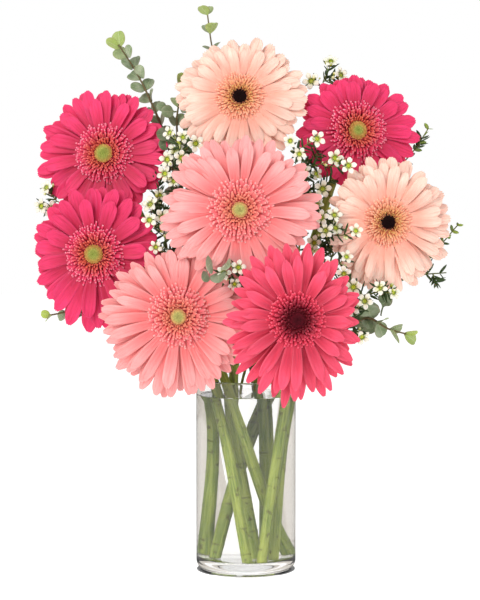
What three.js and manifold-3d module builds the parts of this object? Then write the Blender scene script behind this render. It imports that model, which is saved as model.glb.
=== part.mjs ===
// Eight gerberas with waxflower and eucalyptus, standing in water in a clear glass cylinder vase.
// Millimetres, +Z up. The origin is the middle of the vase's foot, and the blooms face -Y.
// Each bloom is a ring of rays with a fringe of small florets, an eye, and a stem with its green cup.
import * as THREE from "three";
import { mergeVertices } from "three/addons/utils/BufferGeometryUtils.js";
import Module from "manifold-3d";

const wasm = await Module();
wasm.setup();

// ---------------------------------------------------------------- driving dimensions

const GAP = 0.4; // clearance between two pieces that touch on the real object
const VASE = { radius: 40, height: 154, wall: 3, floor: 10, heel: 8, lip: 1.5, chamfer: 2, segments: 24 };
const WATER_LEVEL = 141;
const RIM_Z = 150; // height at which each stem's place in the vase's mouth is given
const CUT_Z = VASE.floor + GAP; // the stems are cut off level just above the vase's floor
const FOOT_DROP = 6; // a stem's last guiding point lies this far below its cut end

const STEM = { radius: 3.8, sides: 6, steps: 12 };
const WOOD = { sides: 4, steps: 8 }; // the thinner stems of the fillers
const CUP = { radius: 11.5, depth: 13, neck: 5, lobes: 10, scallop: 0.88 }; // green cup of bracts
const HUB = { radius: 13, thickness: 3, segments: 10 }; // receptacle that carries rays and florets
const STALK_SINK = 12; // the stem's first point below the hub's top
const NECK = { depth: 31, drop: 6 }; // the stem's next point, behind the bloom and lower

const BLADE = 0.8; // thickness of rays and leaves
const OUTER = { height: -2.3, notch: 25, share: 1.06, phase: 0, slope: -0.05 }; // the lower layer of rays
const INNER = { height: -1.1, notch: 20, share: 0.9, phase: 0.5, slope: 0.05 }; // the upper one
const RAY = { shoulder: 0.89, twist: 0.45, wave: 0.7, shorter: 0.035 };
const FRINGE = { height: 0.1, spokes: 14, short: 0.74, rise: [2.6, 3.8], valley: 2 };
const EYE = { base: 0.9, rim: 2.2, crown: 4.2, dimple: 3.9, segments: 12, grain: 0.35 };

// Each kind's colours, counts of rays in the outer and inner layer, width of a ray, how far the
// fringe of small florets reaches, and the radius of the eye.
const KINDS = {
  hot_pink: { colour: 0xe93b6b, eyeColour: 0xa8a352, counts: [17, 13], width: 11.6, fringe: 27, eye: 7.4 },
  pink: { colour: 0xf79c98, eyeColour: 0xa49a5c, counts: [20, 14], width: 10.2, fringe: 22, eye: 6.2 },
  peach: { colour: 0xf6c3a5, eyeColour: 0x1c0807, counts: [18, 13], width: 10.6, fringe: 17, eye: 7.6 },
  coral: { colour: 0xf7536e, eyeColour: 0x3d0a10, counts: [17, 13], width: 10, fringe: 21, eye: 6.6 },
};

// Blooms: middle of the hub's top, the way it faces (degrees to the right, degrees up), how far the rays
// reach to the right, up, left and down, and the stem's way point, its place in the mouth and its foot.
const GERBERAS = [
  {
    name: "gerbera_upper_left", kind: "hot_pink", seed: 11, at: [-113, -2, 334], yaw: -14, pitch: 8,
    reach: [48, 49, 52, 45], way: [-69, 23, 250], mouth: [-15, -19], foot: [25, 14],
  },
  {
    name: "gerbera_lower_left", kind: "hot_pink", seed: 12, at: [-119, -32, 255], yaw: -12, pitch: 0,
    reach: [50, 51, 46, 56], way: [-68, 5, 206], mouth: [-26, 1], foot: [-21, 15],
  },
  {
    name: "gerbera_top", kind: "peach", seed: 13, at: [-5, -30, 378], yaw: 0, pitch: 12,
    reach: [49, 46, 47, 45], way: [-6, 10, 260], mouth: [9, 13], foot: [11, 21],
  },
  {
    name: "gerbera_centre", kind: "pink", seed: 14, at: [-5, -76, 290], yaw: 0, pitch: 6,
    reach: [57, 54, 55, 49], way: [-1, -30, 220], mouth: [-10, -3], foot: [7, -6],
  },
  {
    name: "gerbera_upper_right", kind: "hot_pink", seed: 15, at: [88, -10, 352], yaw: 14, pitch: 8,
    reach: [48, 42, 46, 42], way: [50, 19, 250], mouth: [14, 26], foot: [-21, -4],
  },
  {
    name: "gerbera_right", kind: "peach", seed: 16, at: [110, -44, 280], yaw: 12, pitch: 2,
    reach: [46, 49, 46, 52], way: [66, -3, 207], mouth: [30, 7], foot: [18, -14],
  },
  {
    name: "gerbera_front_left", kind: "pink", seed: 17, at: [-52, -64, 208], yaw: -6, pitch: -2,
    reach: [47, 50, 57, 58], way: [-40, -26, 177], mouth: [-24, -13], foot: [2, -31],
  },
  {
    name: "gerbera_front_right", kind: "coral", seed: 18, at: [38, -100, 208], yaw: 5, pitch: 0,
    reach: [45, 55, 49, 60], way: [32, -50, 185], mouth: [27, -6], foot: [11, -30],
  },
];

// Waxflower: the woody stem from its tip to its place in the mouth and its foot, the side branches
// (share of the stem's length from its tip where each forks off, and its way points), the tips of the
// leafy shoots, the open flowers, the height of the cut end and the number of needles on each branch.
const WAX = {
  stem: 1.4, branch: 1, twig: 0.9, shoot: 1.2, flower: 6.2, notch: 0.5, cup: 4.4, needle: 12, blade: 1,
};
const WAXFLOWERS = [
  {
    name: "waxflower_left", seed: 31, cut: 112, needles: 3,
    stem: [[-64, -20, 268], [-54, 8, 208], [-27, 15, 150], [27, 33, 24]],
    branches: [{ fork: 0.22, path: [[-92, 26, 258], [-122, 24, 284], [-152, 8, 296]] }],
    shoots: [[-62, -26, 290], [-74, -24, 252], [-70, -10, 314], [-98, 42, 246]],
    flowers: [
      [-75, -50, 282], [-64, -42, 286], [-75, -36, 296], [-70, -52, 262], [-59, -34, 271], [-61, -40, 252],
      [-68, -18, 303], [-160, 4, 307], [-164, 2, 292],
    ],
  },
  {
    name: "waxflower_upper_left", seed: 32, cut: 112, needles: 3,
    stem: [[-54, -18, 326], [-38, 10, 240], [-19, 15, 150], [15, 19, 24]],
    branches: [],
    shoots: [[-48, -24, 318], [-42, -20, 352], [-22, 46, 304], [-44, 42, 282]],
    flowers: [
      [-49, -48, 346], [-39, -54, 341], [-50, -50, 330], [-61, -28, 350], [-62, -26, 329], [-64, -24, 316],
      [-24, 32, 290],
    ],
  },
  {
    name: "waxflower_upper_right", seed: 33, cut: 115, needles: 2,
    stem: [[44, -23, 328], [39, 24, 235], [-3, 18, 150], [3, 1, 24]],
    branches: [
      { fork: 0.11, path: [[54, 8, 350], [62, 12, 392]] },
      { fork: 0.3, path: [[66, 34, 272], [104, 22, 304], [134, 6, 336], [146, 9, 354]] },
    ],
    shoots: [[46, -26, 306], [20, 48, 306], [52, 50, 296], [84, 44, 268], [140, 4, 346]],
    flowers: [
      [34, -52, 343], [41, -50, 333], [52, 4, 392], [68, 12, 408], [76, 10, 397], [55, -40, 345],
      [45, -36, 320], [60, -30, 306], [26, 40, 292], [58, 44, 284],
    ],
  },
  {
    name: "waxflower_right", seed: 34, cut: 113, needles: 2,
    stem: [[68, -38, 256], [50, 7, 195], [27, 17, 150], [5, 12, 24]],
    branches: [
      { fork: 0.19, path: [[84, -42, 222], [106, -54, 227]] },
      { fork: 0.12, path: [[74, -42, 218], [85, -48, 197]] },
      { fork: 0.32, path: [[90, 8, 216], [134, -18, 237], [158, -24, 240]] },
      { fork: 0.29, path: [[100, 14, 238], [150, -10, 258], [168, -10, 277]] },
    ],
    shoots: [[58, -30, 278], [62, -36, 262], [74, -40, 236], [150, -22, 233], [84, 36, 222]],
    flowers: [
      [58, -58, 284], [69, -56, 276], [53, -42, 264], [65, -62, 247], [77, -64, 254],
      [82, -70, 231], [91, -66, 220], [103, -62, 230], [114, -56, 226], [81, -60, 214],
      [90, -50, 191],
    ],
  },
  {
    name: "waxflower_centre", seed: 35, cut: 118, needles: 2,
    stem: [[-13, -58, 240], [-14, -26, 195], [-9, -10, 150], [18, -9, 24]],
    branches: [],
    shoots: [[2, -66, 236], [-26, -62, 232]],
    flowers: [[-17, -88, 243], [-6, -90, 247], [-9, -84, 234]],
  },
];

// Eucalyptus: the stem from its tip to its foot, the leafy share of it, the pairs of leaves on that
// share, the leaves' radius at the tip and at the bottom of the leafy part, the cut end's height,
// and single leaves that stand off the stem (place and radius).
const EUCALYPTUS = [
  {
    name: "eucalyptus_upper_left", radius: 1.3, leafy: 0.3, pairs: 8, leaf: [5, 5.5], cut: 118,
    path: [
      [-102, 8, 421], [-89, 12, 401], [-75, 10, 373], [-62, 16, 338], [-45, 30, 235], [-9, 28, 150],
      [4, 45, 34],
    ],
    singles: [],
  },
  {
    name: "eucalyptus_top", radius: 1.2, leafy: 0.24, pairs: 5, leaf: [4, 7], cut: 114,
    path: [[-31, 8, 447], [-28, 8, 424], [-21, 8, 385], [-14, 28, 250], [5, 33, 150], [11, 22, 74]],
    singles: [],
  },
  {
    name: "eucalyptus_left", radius: 1.3, leafy: 0.28, pairs: 5, leaf: [5.5, 7.5], cut: 112,
    path: [[-50, -6, 388], [-55, -6, 360], [-50, 6, 320], [-26, 36, 230], [-17, 28, 150], [-1, 19, 64]],
    singles: [[-62, -12, 367, 5.5], [-66, -14, 347, 6]],
  },
  {
    name: "eucalyptus_lower_left", radius: 1.3, leafy: 0.24, pairs: 3, leaf: [5, 6.5], cut: 114,
    path: [[-156, -18, 206], [-136, -12, 208], [-76, 2, 190], [-29, 7, 150], [-4, 19, 79]],
    singles: [],
  },
  {
    name: "eucalyptus_lower_right", radius: 1.3, leafy: 0.34, pairs: 4, leaf: [5.5, 7.5], cut: 116,
    path: [[126, -30, 192], [112, -31, 196], [96, -24, 204], [66, 6, 182], [26, 13, 150], [25, 6, 79]],
    singles: [[96, -36, 211, 9], [109, -40, 220, 6]],
  },
  {
    name: "eucalyptus_centre", radius: 1.2, leafy: 0.1, pairs: 2, leaf: [7, 8], cut: 116,
    path: [[-21, -62, 257], [-19, -50, 243], [-18, -14, 200], [-17, 0, 150], [-10, 24, 54]],
    singles: [[-27, -70, 247, 9]],
  },
];
const LEAF = { lift: 38, corners: [180, -105, -35, 35, 105], root: 0.5, width: 0.95, stalk: 0.7 };

// ---------------------------------------------------------------- solids

/** A closed geometry as a solid, with its faces turned out. */
function solidOf(geometry) {
  const plain = geometry.clone();
  plain.deleteAttribute("normal");
  plain.deleteAttribute("uv");
  const merged = mergeVertices(plain, 1e-4);
  const corners = merged.index.array;
  const kept = [];
  for (let i = 0; i < corners.length; i += 3) {
    const [a, b, c] = [corners[i], corners[i + 1], corners[i + 2]];
    if (a !== b && b !== c && c !== a) kept.push(a, b, c);
  }
  const build = (triangles) =>
    new wasm.Manifold(
      new wasm.Mesh({
        numProp: 3,
        vertProperties: new Float32Array(merged.attributes.position.array),
        triVerts: new Uint32Array(triangles),
      }),
    );
  const made = build(kept);
  return made.volume() > 0 ? made : build(kept.reverse());
}

/** A solid as an indexed geometry. */
function geometryOf(solid) {
  const mesh = solid.getMesh();
  const points = new Float32Array(mesh.numVert * 3);
  for (let i = 0; i < mesh.numVert; i++) {
    points.set(mesh.vertProperties.subarray(i * mesh.numProp, i * mesh.numProp + 3), i * 3);
  }
  const geometry = new THREE.BufferGeometry();
  geometry.setAttribute("position", new THREE.BufferAttribute(points, 3));
  geometry.setIndex(new THREE.BufferAttribute(mesh.triVerts, 1));
  return geometry;
}

const fuse = (solids) => wasm.Manifold.union(solids);

/** Moves every point of a geometry by a formula. */
function shape(geometry, formula) {
  const position = geometry.attributes.position;
  const point = new THREE.Vector3();
  for (let i = 0; i < position.count; i++) {
    point.fromBufferAttribute(position, i);
    position.setXYZ(i, ...formula(point).toArray());
  }
  return geometry;
}

/** A repeatable draw between -1 and 1. */
function draws(seed) {
  let state = seed * 2654435761;
  return () => {
    state = (state + 0x6d2b79f5) >>> 0;
    let t = Math.imul(state ^ (state >>> 15), state | 1);
    t ^= t + Math.imul(t ^ (t >>> 7), t | 61);
    return (((t ^ (t >>> 14)) >>> 0) / 4294967296) * 2 - 1;
  };
}

const vector = (place) => new THREE.Vector3(...place);
const smooth = (points) => new THREE.CatmullRomCurve3(points, false, "centripetal");

/** A round rod along a smooth curve. */
function rod(points, radius, sides, steps) {
  const outline = [];
  for (let i = 0; i < sides; i++) {
    const angle = (i / sides) * 2 * Math.PI;
    outline.push(new THREE.Vector2(radius * Math.cos(angle), radius * Math.sin(angle)));
  }
  const options = { steps, bevelEnabled: false, extrudePath: smooth(points) };
  return solidOf(new THREE.ExtrudeGeometry(new THREE.Shape(outline), options));
}

/** A solid of revolution about Z, from points of radius and height that start and end on the axis. */
function turned(profile, segments, relief = (point) => point) {
  const outline = profile.map(([radius, height]) => new THREE.Vector2(radius, height));
  const geometry = new THREE.LatheGeometry(outline, segments).rotateX(Math.PI / 2).rotateZ(Math.PI / 2);
  return solidOf(shape(geometry, relief));
}

/** A straight three-sided spike from one point to another. */
function spike(from, to, radius) {
  const geometry = new THREE.TetrahedronGeometry(1).applyQuaternion(
    new THREE.Quaternion().setFromUnitVectors(vector([1, 1, 1]).normalize(), vector([0, 0, 1])),
  );
  const axis = to.clone().sub(from);
  const turn = new THREE.Quaternion().setFromUnitVectors(vector([0, 0, 1]), axis.clone().normalize());
  geometry.translate(0, 0, 1 / 3).scale(radius, radius, axis.length() * 0.75);
  return solidOf(geometry.applyQuaternion(turn).translate(...from.toArray()));
}

// ---------------------------------------------------------------- blooms

/** The bloom's own frame: X to its right, Y up its face and Z the way it faces. */
function bloomFrame({ at, yaw, pitch }) {
  const [a, b] = [THREE.MathUtils.degToRad(yaw), THREE.MathUtils.degToRad(pitch)];
  const facing = new THREE.Vector3(Math.sin(a) * Math.cos(b), -Math.cos(a) * Math.cos(b), Math.sin(b));
  const right = new THREE.Vector3(Math.cos(a), Math.sin(a), 0);
  const up = new THREE.Vector3().crossVectors(facing, right);
  return new THREE.Matrix4().makeBasis(right, up, facing).setPosition(...at);
}

/** How far the rays reach at an angle round the bloom, between its right, up, left and down. */
function reachAt([right, up, left, down], angle) {
  const across = (Math.cos(angle) > 0 ? right : left) ** -1 * Math.cos(angle);
  const along = (Math.sin(angle) > 0 ? up : down) ** -1 * Math.sin(angle);
  return 1 / Math.hypot(across, along);
}

/** A flat plate with the given outline, its middle at height zero. */
function plate(outline) {
  const options = { depth: BLADE, bevelEnabled: false };
  return new THREE.ExtrudeGeometry(new THREE.Shape(outline), options).translate(0, 0, -BLADE / 2);
}

const polar = (angle, radius) => new THREE.Vector2(radius * Math.cos(angle), radius * Math.sin(angle));

/** One layer of rays: a plate notched between the rays, which twist and bend out of its plane. */
function rayLayer(layer, count, { reach, kind }, draw) {
  const { width } = KINDS[kind];
  const pitch = (2 * Math.PI) / count;
  const outline = [];
  const rises = [];
  for (let i = 0; i < count; i++) {
    const middle = (i + layer.phase) * pitch;
    const length = reachAt(reach, middle) * layer.share * (1 - RAY.shorter * (1 + draw()));
    const half = Math.asin(width / 2 / (length * RAY.shoulder));
    const lean = 0.06 * pitch * draw();
    const wave = RAY.wave * draw();
    outline.push(polar(middle - pitch / 2, layer.notch));
    outline.push(polar(middle + lean - half, length * RAY.shoulder));
    outline.push(polar(middle + lean, length));
    outline.push(polar(middle + lean + half, length * RAY.shoulder));
    const out = layer.slope * (length - layer.notch) + wave;
    rises.push(0, out * RAY.shoulder - RAY.twist, out, out * RAY.shoulder + RAY.twist);
  }
  return solidOf(shape(plate(outline), raised(outline, rises, layer.height)));
}

/** Lifts each corner of an outline by its own amount. */
function raised(outline, rises, height) {
  return (point) => {
    const corner = outline.findIndex(({ x, y }) => Math.hypot(x - point.x, y - point.y) < 1e-3);
    return point.setZ(point.z + height + rises[corner]);
  };
}

/** The fringe of small florets round the eye: a plate cut into spokes that turn up. */
function fringe({ kind }) {
  const { fringe: reach, eye } = KINDS[kind];
  const pitch = (2 * Math.PI) / FRINGE.spokes;
  const outline = [];
  const rises = [];
  for (let i = 0; i < FRINGE.spokes; i++) {
    const isShort = i % 2;
    outline.push(polar((i - 0.5) * pitch, eye + FRINGE.valley));
    outline.push(polar(i * pitch, reach * (isShort ? FRINGE.short : 1)));
    rises.push(0, FRINGE.rise[isShort]);
  }
  return solidOf(shape(plate(outline), raised(outline, rises, FRINGE.height)));
}

/** Both layers of rays and the fringe of small florets on their hub, as one body. */
function rays(gerbera) {
  const [outer, inner] = KINDS[gerbera.kind].counts;
  const draw = draws(gerbera.seed);
  const { radius, thickness, segments } = HUB;
  return fuse([
    turned([[0, -thickness], [radius, -thickness], [radius, 0], [0, 0]], segments),
    rayLayer(OUTER, outer, gerbera, draw),
    rayLayer(INNER, inner, gerbera, draw),
    fringe(gerbera),
  ]);
}

/** Which of a number of equal steps round the Z axis a point stands on. */
const stepRound = (point, steps) => Math.round((Math.atan2(point.y, point.x) / (2 * Math.PI)) * steps);

/** The eye: a low dome of packed florets, raised and sunk in turn. */
function eye({ kind }) {
  const radius = KINDS[kind].eye;
  const { base, rim, crown, dimple, segments, grain } = EYE;
  const profile = [[0, base], [radius - 0.6, base], [radius, rim], [radius * 0.55, crown], [0, dimple]];
  return turned(profile, segments, (point) => {
    const round = Math.hypot(point.x, point.y);
    if (point.z < base + 0.1 || round < 0.1) return point;
    const odd = (stepRound(point, segments) + Math.round(round / radius)) % 2;
    return point.setZ(point.z + (odd ? grain : -grain));
  });
}

/** The green cup of bracts behind a bloom, in the bloom's frame. */
function cup() {
  const top = -HUB.thickness - GAP;
  const { radius, depth, neck, lobes, scallop } = CUP;
  const profile = [
    [0, top - depth], [neck, top - depth], [radius, top - 3], [radius - 1, top], [0, top],
  ];
  return turned(profile, lobes, (point) => {
    const share = stepRound(point, lobes) % 2 && point.z > top - depth * 0.8 ? scallop : 1;
    return point.set(point.x * share, point.y * share, point.z);
  });
}

/** The points that a gerbera's stem passes, from its bloom down to below its cut end. */
function stemPoints(gerbera) {
  const frame = bloomFrame(gerbera);
  const behind = (depth) => new THREE.Vector3(0, 0, -depth).applyMatrix4(frame);
  return [
    behind(STALK_SINK), behind(NECK.depth).setZ(behind(NECK.depth).z - NECK.drop), vector(gerbera.way),
    vector([...gerbera.mouth, RIM_Z]), vector([...gerbera.foot, CUT_Z - FOOT_DROP]),
  ];
}

/** The straight-sided line along a stalk: the point at a share of its length from the tip. */
function lineOf({ points, steps }) {
  const spots = smooth(points).getSpacedPoints(steps);
  return (share) => {
    const at = THREE.MathUtils.clamp(share * steps, 0, steps - 1e-6);
    return spots[Math.floor(at)].clone().lerp(spots[Math.floor(at) + 1], at % 1);
  };
}

/** A stem cut off level at a height, or the hole that it stands in if there is a margin. */
function stemRod({ points, radius, sides, steps, cut }, margin = 0) {
  return rod(points, radius + margin, sides, steps).trimByPlane([0, 0, 1], cut - margin);
}

const gerberaStalk = (gerbera) => ({ ...STEM, points: stemPoints(gerbera), cut: CUT_Z });
const waxStalk = ({ stem, cut }) => ({ ...WOOD, radius: WAX.stem, points: stem.map(vector), cut });
const eucalyptusStalk = ({ path, radius, cut }) => ({ ...WOOD, radius, points: path.map(vector), cut });

function stem(gerbera) {
  const green = geometryOf(cup()).applyMatrix4(bloomFrame(gerbera));
  return fuse([stemRod(gerberaStalk(gerbera)), solidOf(green)]);
}

// ---------------------------------------------------------------- fillers

/** A waxflower: five points round a cup that opens the way it faces. */
function waxFlower(place, facing) {
  const sides = 10;
  const flower = new THREE.ConeGeometry(1, WAX.cup, sides, 1).rotateX(-Math.PI / 2).rotateZ(Math.PI / 2);
  shape(flower, (point) => {
    const round = Math.hypot(point.x, point.y);
    if (round < 0.1) return point;
    const size = WAX.flower * (stepRound(point, sides) % 2 ? WAX.notch : 1);
    return point.set((point.x / round) * size, (point.y / round) * size, point.z);
  });
  const turn = new THREE.Quaternion().setFromUnitVectors(new THREE.Vector3(0, 0, 1), facing);
  return solidOf(flower.applyQuaternion(turn).translate(...place.toArray()));
}

/** A woody stem that forks to every flower, with needles along its branches. */
function waxSpray(spray) {
  const draw = draws(spray.seed);
  const stalk = waxStalk(spray);
  const main = lineOf(stalk);
  const lines = [main];
  const pieces = [stemRod(stalk)];
  const wood = [];
  for (let share = 0.01; main(share).z > RIM_Z + 20; share += 0.02) wood.push(main(share));
  for (const { fork, path } of spray.branches) {
    const branch = { points: [...path.map(vector).reverse(), main(fork)], steps: 5 };
    pieces.push(rod(branch.points, WAX.branch, 3, branch.steps));
    lines.push(lineOf(branch));
    for (let share = 0.02; share < 0.8; share += 0.06) wood.push(lines.at(-1)(share));
  }
  const forkFor = (place, below) => {
    const cost = (point) => point.distanceTo(place) + 2 * Math.max(0, point.z - place.z + below);
    return wood.reduce((best, point) => (cost(point) < cost(best) ? point : best));
  };
  for (const tip of spray.shoots.map(vector)) pieces.push(spike(forkFor(tip, 8), tip, WAX.shoot));
  for (const place of spray.flowers.map(vector)) {
    const root = forkFor(place, 4);
    const facing = place.clone().sub(root).normalize().multiplyScalar(0.7);
    facing.add(new THREE.Vector3(0.2 * draw(), -1, 0.25 * draw())).normalize();
    const inside = place.clone().addScaledVector(facing, WAX.cup * 0.2);
    pieces.push(spike(root, inside, WAX.twig), waxFlower(place, facing));
    wood.push(root.clone().lerp(inside, 0.4));
  }
  for (const line of lines) {
    for (let i = 0; i < spray.needles; i++) {
      const share = 0.02 + i * 0.1;
      const root = line(share);
      const along = root.clone().sub(line(share + 0.05)).normalize();
      const turn = i * 2.4 + draw();
      const aside = new THREE.Vector3(Math.cos(turn), 0.3 * Math.sin(turn), Math.sin(turn)).normalize();
      const tip = root.clone().addScaledVector(along.add(aside).normalize(), WAX.needle);
      pieces.push(spike(root, tip, WAX.blade));
    }
  }
  return fuse(pieces);
}

/** A round leaf that reaches one way from its root and faces another. */
function leaf(root, reach, normal, radius) {
  const corners = LEAF.corners.map(THREE.MathUtils.degToRad);
  const start = LEAF.root - Math.cos(corners[0]) * radius;
  const outline = corners.map((angle) => {
    return new THREE.Vector2(start + Math.cos(angle) * radius, LEAF.width * Math.sin(angle) * radius);
  });
  const across = new THREE.Vector3().crossVectors(normal, reach);
  const frame = new THREE.Matrix4().makeBasis(reach, across, normal).setPosition(root);
  return solidOf(plate(outline).applyMatrix4(frame));
}

/** A leaf that clasps its stem and lifts towards the stem's tip. */
function liftedLeaf(root, outward, along, radius) {
  const lift = THREE.MathUtils.degToRad(LEAF.lift);
  const reach = outward.clone().multiplyScalar(Math.cos(lift)).addScaledVector(along, Math.sin(lift));
  const normal = along.clone().multiplyScalar(Math.cos(lift)).addScaledVector(outward, -Math.sin(lift));
  return leaf(root, reach, normal, radius);
}

/** A leaf on a stalk of its own, from the nearest point of the stem, that faces the front. */
function stalkedLeaf(line, [x, y, z, radius]) {
  const middle = new THREE.Vector3(x, y, z);
  const spots = Array.from({ length: 60 }, (_, i) => line(i / 120));
  const root = spots.reduce((a, b) => (b.distanceTo(middle) < a.distanceTo(middle) ? b : a));
  const reach = middle.clone().sub(root).normalize();
  const normal = new THREE.Vector3(0, -1, 0);
  normal.addScaledVector(reach, -normal.dot(reach)).normalize();
  const start = middle.clone().addScaledVector(reach, -radius - LEAF.root);
  const end = start.clone().addScaledVector(reach, 2);
  return fuse([spike(root, end, LEAF.stalk), leaf(start, reach, normal, radius)]);
}

/** A eucalyptus stem with opposite pairs of leaves, each pair turned a quarter from the last. */
function eucalyptusSprig(sprig) {
  const { leafy, pairs, leaf: [small, large] } = sprig;
  const stalk = eucalyptusStalk(sprig);
  const line = lineOf(stalk);
  const pieces = [stemRod(stalk)];
  for (let i = 0; i < pairs; i++) {
    const share = 0.008 + (leafy * i) / pairs;
    const root = line(share);
    const along = line(share - 0.008).sub(line(share + 0.008)).normalize();
    const outward = new THREE.Vector3().crossVectors(along, new THREE.Vector3(0, 1, 0)).normalize();
    outward.applyAxisAngle(along, (i % 2 ? 0.72 : 0.22) * Math.PI);
    const size = small + ((large - small) * i) / Math.max(1, pairs - 1);
    for (const way of [outward, outward.clone().negate()]) pieces.push(liftedLeaf(root, way, along, size));
  }
  return fuse([...pieces, ...sprig.singles.map((place) => stalkedLeaf(line, place))]);
}

// ---------------------------------------------------------------- vase and water

function vase() {
  const { radius, height, wall, floor, heel, lip, chamfer, segments } = VASE;
  const inner = radius - wall;
  const heelArc = [0, 1 / 3, 2 / 3, 1].map((share) => [
    radius - heel + heel * Math.sin((share * Math.PI) / 2),
    heel - heel * Math.cos((share * Math.PI) / 2),
  ]);
  const rim = [[radius, height - lip], [radius - wall / 2, height], [inner, height - lip]];
  const well = [[inner, floor + chamfer], [inner - chamfer, floor], [0, floor]];
  return turned([[0, 0], ...heelArc, ...rim, ...well], segments);
}

/** The water, with a plain hole for every stem that stands in it. */
function water(stalks) {
  const { radius, wall, floor, chamfer, segments } = VASE;
  const inner = radius - wall - GAP;
  const bottom = floor + GAP;
  const side = [[inner - chamfer, bottom], [inner, bottom + chamfer], [inner, WATER_LEVEL]];
  const body = turned([[0, bottom], ...side, [0, WATER_LEVEL]], segments);
  const holes = stalks.map((stalk) => stemRod(stalk, GAP));
  const pools = body.subtract(fuse(holes)).decompose();
  return pools.reduce((best, pool) => (pool.volume() > best.volume() ? pool : best));
}

// ---------------------------------------------------------------- the bouquet

const bouquet = new THREE.Group();

function add(name, solid, colour, roughness, extra = {}, parent = bouquet) {
  const material = new THREE.MeshStandardMaterial({ color: colour, roughness, metalness: 0, ...extra });
  const mesh = new THREE.Mesh(geometryOf(solid), material);
  mesh.name = name;
  parent.add(mesh);
}

const clear = { transparent: true, opacity: 0.3 };
add("vase", vase(), 0xeef4f2, 0.03, clear);

const stalks = [
  ...GERBERAS.map(gerberaStalk),
  ...WAXFLOWERS.map(waxStalk),
  ...EUCALYPTUS.map(eucalyptusStalk),
];
add("water", water(stalks), 0xe6f0f0, 0.02, clear);

for (const gerbera of GERBERAS) {
  const kind = KINDS[gerbera.kind];
  const head = new THREE.Group();
  head.applyMatrix4(bloomFrame(gerbera));
  bouquet.add(head);
  add(gerbera.name + "_rays", rays(gerbera), kind.colour, 0.6, {}, head);
  add(gerbera.name + "_eye", eye(gerbera), kind.eyeColour, 0.85, {}, head);
  add(gerbera.name + "_stem", stem(gerbera), 0x8b9a4b, 0.55);
}
for (const spray of WAXFLOWERS) add(spray.name, waxSpray(spray), 0xf4f0e2, 0.6);
for (const sprig of EUCALYPTUS) add(sprig.name, eucalyptusSprig(sprig), 0x8fa084, 0.7);

export default bouquet;
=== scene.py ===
"""Eight gerberas with waxflower and eucalyptus, standing in water in a clear glass cylinder vase.

Laid out as an add-on and run as a script. +Z is up, the middle of the vase's foot is the origin and
the blooms face -Y. The tables and the shaping are in millimetres, and each finished piece is scaled
to metres.
"""

import math
import random

import bmesh
import bpy
from bpy.props import FloatProperty, FloatVectorProperty, IntProperty, PointerProperty
from mathutils import Matrix, Vector


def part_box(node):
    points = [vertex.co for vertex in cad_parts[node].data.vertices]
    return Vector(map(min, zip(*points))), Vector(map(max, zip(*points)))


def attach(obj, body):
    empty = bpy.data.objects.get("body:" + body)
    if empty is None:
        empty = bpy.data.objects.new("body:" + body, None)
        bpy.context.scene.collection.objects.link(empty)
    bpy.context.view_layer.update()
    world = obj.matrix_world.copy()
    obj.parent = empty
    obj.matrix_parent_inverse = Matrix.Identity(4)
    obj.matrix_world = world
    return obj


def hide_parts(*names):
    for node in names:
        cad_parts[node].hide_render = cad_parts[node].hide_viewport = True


bl_info = {
    "name": "Gerberas in a Vase",
    "version": (1, 0, 0),
    "blender": (4, 5, 0),
    "location": "View3D > Sidebar > Bouquet",
    "description": "Builds a bouquet of gerberas, waxflower and eucalyptus in a glass vase",
    "category": "Mesh",
}

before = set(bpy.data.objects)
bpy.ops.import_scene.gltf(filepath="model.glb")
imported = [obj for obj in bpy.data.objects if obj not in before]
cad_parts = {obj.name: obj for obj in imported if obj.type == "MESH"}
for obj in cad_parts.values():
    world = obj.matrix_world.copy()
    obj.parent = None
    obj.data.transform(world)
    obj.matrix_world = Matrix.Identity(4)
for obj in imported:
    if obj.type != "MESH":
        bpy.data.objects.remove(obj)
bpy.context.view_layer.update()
VASE_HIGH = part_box("vase")[1]
WATER_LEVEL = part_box("water")[1].z

MM = 0.001
UP = Vector((0, 0, 1))
GOLDEN_TURN = math.pi * (3 - math.sqrt(5))
RIM_Z = 150  # height at which each stem's place in the vase's mouth is given
CUT_Z = 10.4  # the stems are cut off level here, just above the vase's floor
SCARS, SCAR_SHIFT = 11.0, 5.3  # leaf scars along a stem, and how far its tone shifts them
FOOT_DROP = 6  # a stem's last guiding point lies this far below its cut end
STALK_SINK = 12  # a stem's first point below the bloom's hub
NECK_DEPTH, NECK_DROP = 31, 6  # a stem's next point, behind the bloom and lower
ROOT = 11  # the rays are rooted this far from the middle of the bloom
EYE_BUDS = 230  # buds packed on the dome of an eye
HELD = 0.8  # a row of corners this close to a rounding keeps the flat beside it flat

# Profiles that are turned round an axis, as (radius, height): the hub that carries the rays, the
# cup of bracts behind it, the waxflower's cup, and the domed underside of the vase's foot.
HUB = [(0, -3), (10.6, -3), (12.6, -2.2), (13, -1), (12.4, 0), (9, 0.4), (0, 0.5)]
BRACT_CUP = [
    (0, -16.4), (3.6, -16.2), (5.6, -14.6), (8.4, -10.6), (10.4, -6.6), (10.9, -3.4), (9.5, -2.4),
    (0, -2.2),
]
WAX_CUP = [
    (0, -4.6), (0.6, -4.6), (1.5, -2.6), (2.1, -0.8), (2.5, 0.1), (2.2, 0.3), (1.5, -0.3),
    (0, -0.5),
]
FOOT = [(0, 6.5), (12, 6.1), (22, 5), (30, 3.4), (35, 1.8), (38, 0.8), (39.6, 0.15)]
WELL_CORNER = 2.4  # rounding where the inside of the glass wall meets its floor
MENISCUS = [(0.3, 0.45), (0.9, 0.2), (1.8, 0.05), (3, 0)]  # in from the glass, above the water

# Rows of bracts from the outermost: how many, distance out, length and lean in degrees.
BRACT_ROWS = ((15, 5.0, 8.0, 26), (17, 7.4, 9.0, 16), (19, 9.2, 9.4, 8))

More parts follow.
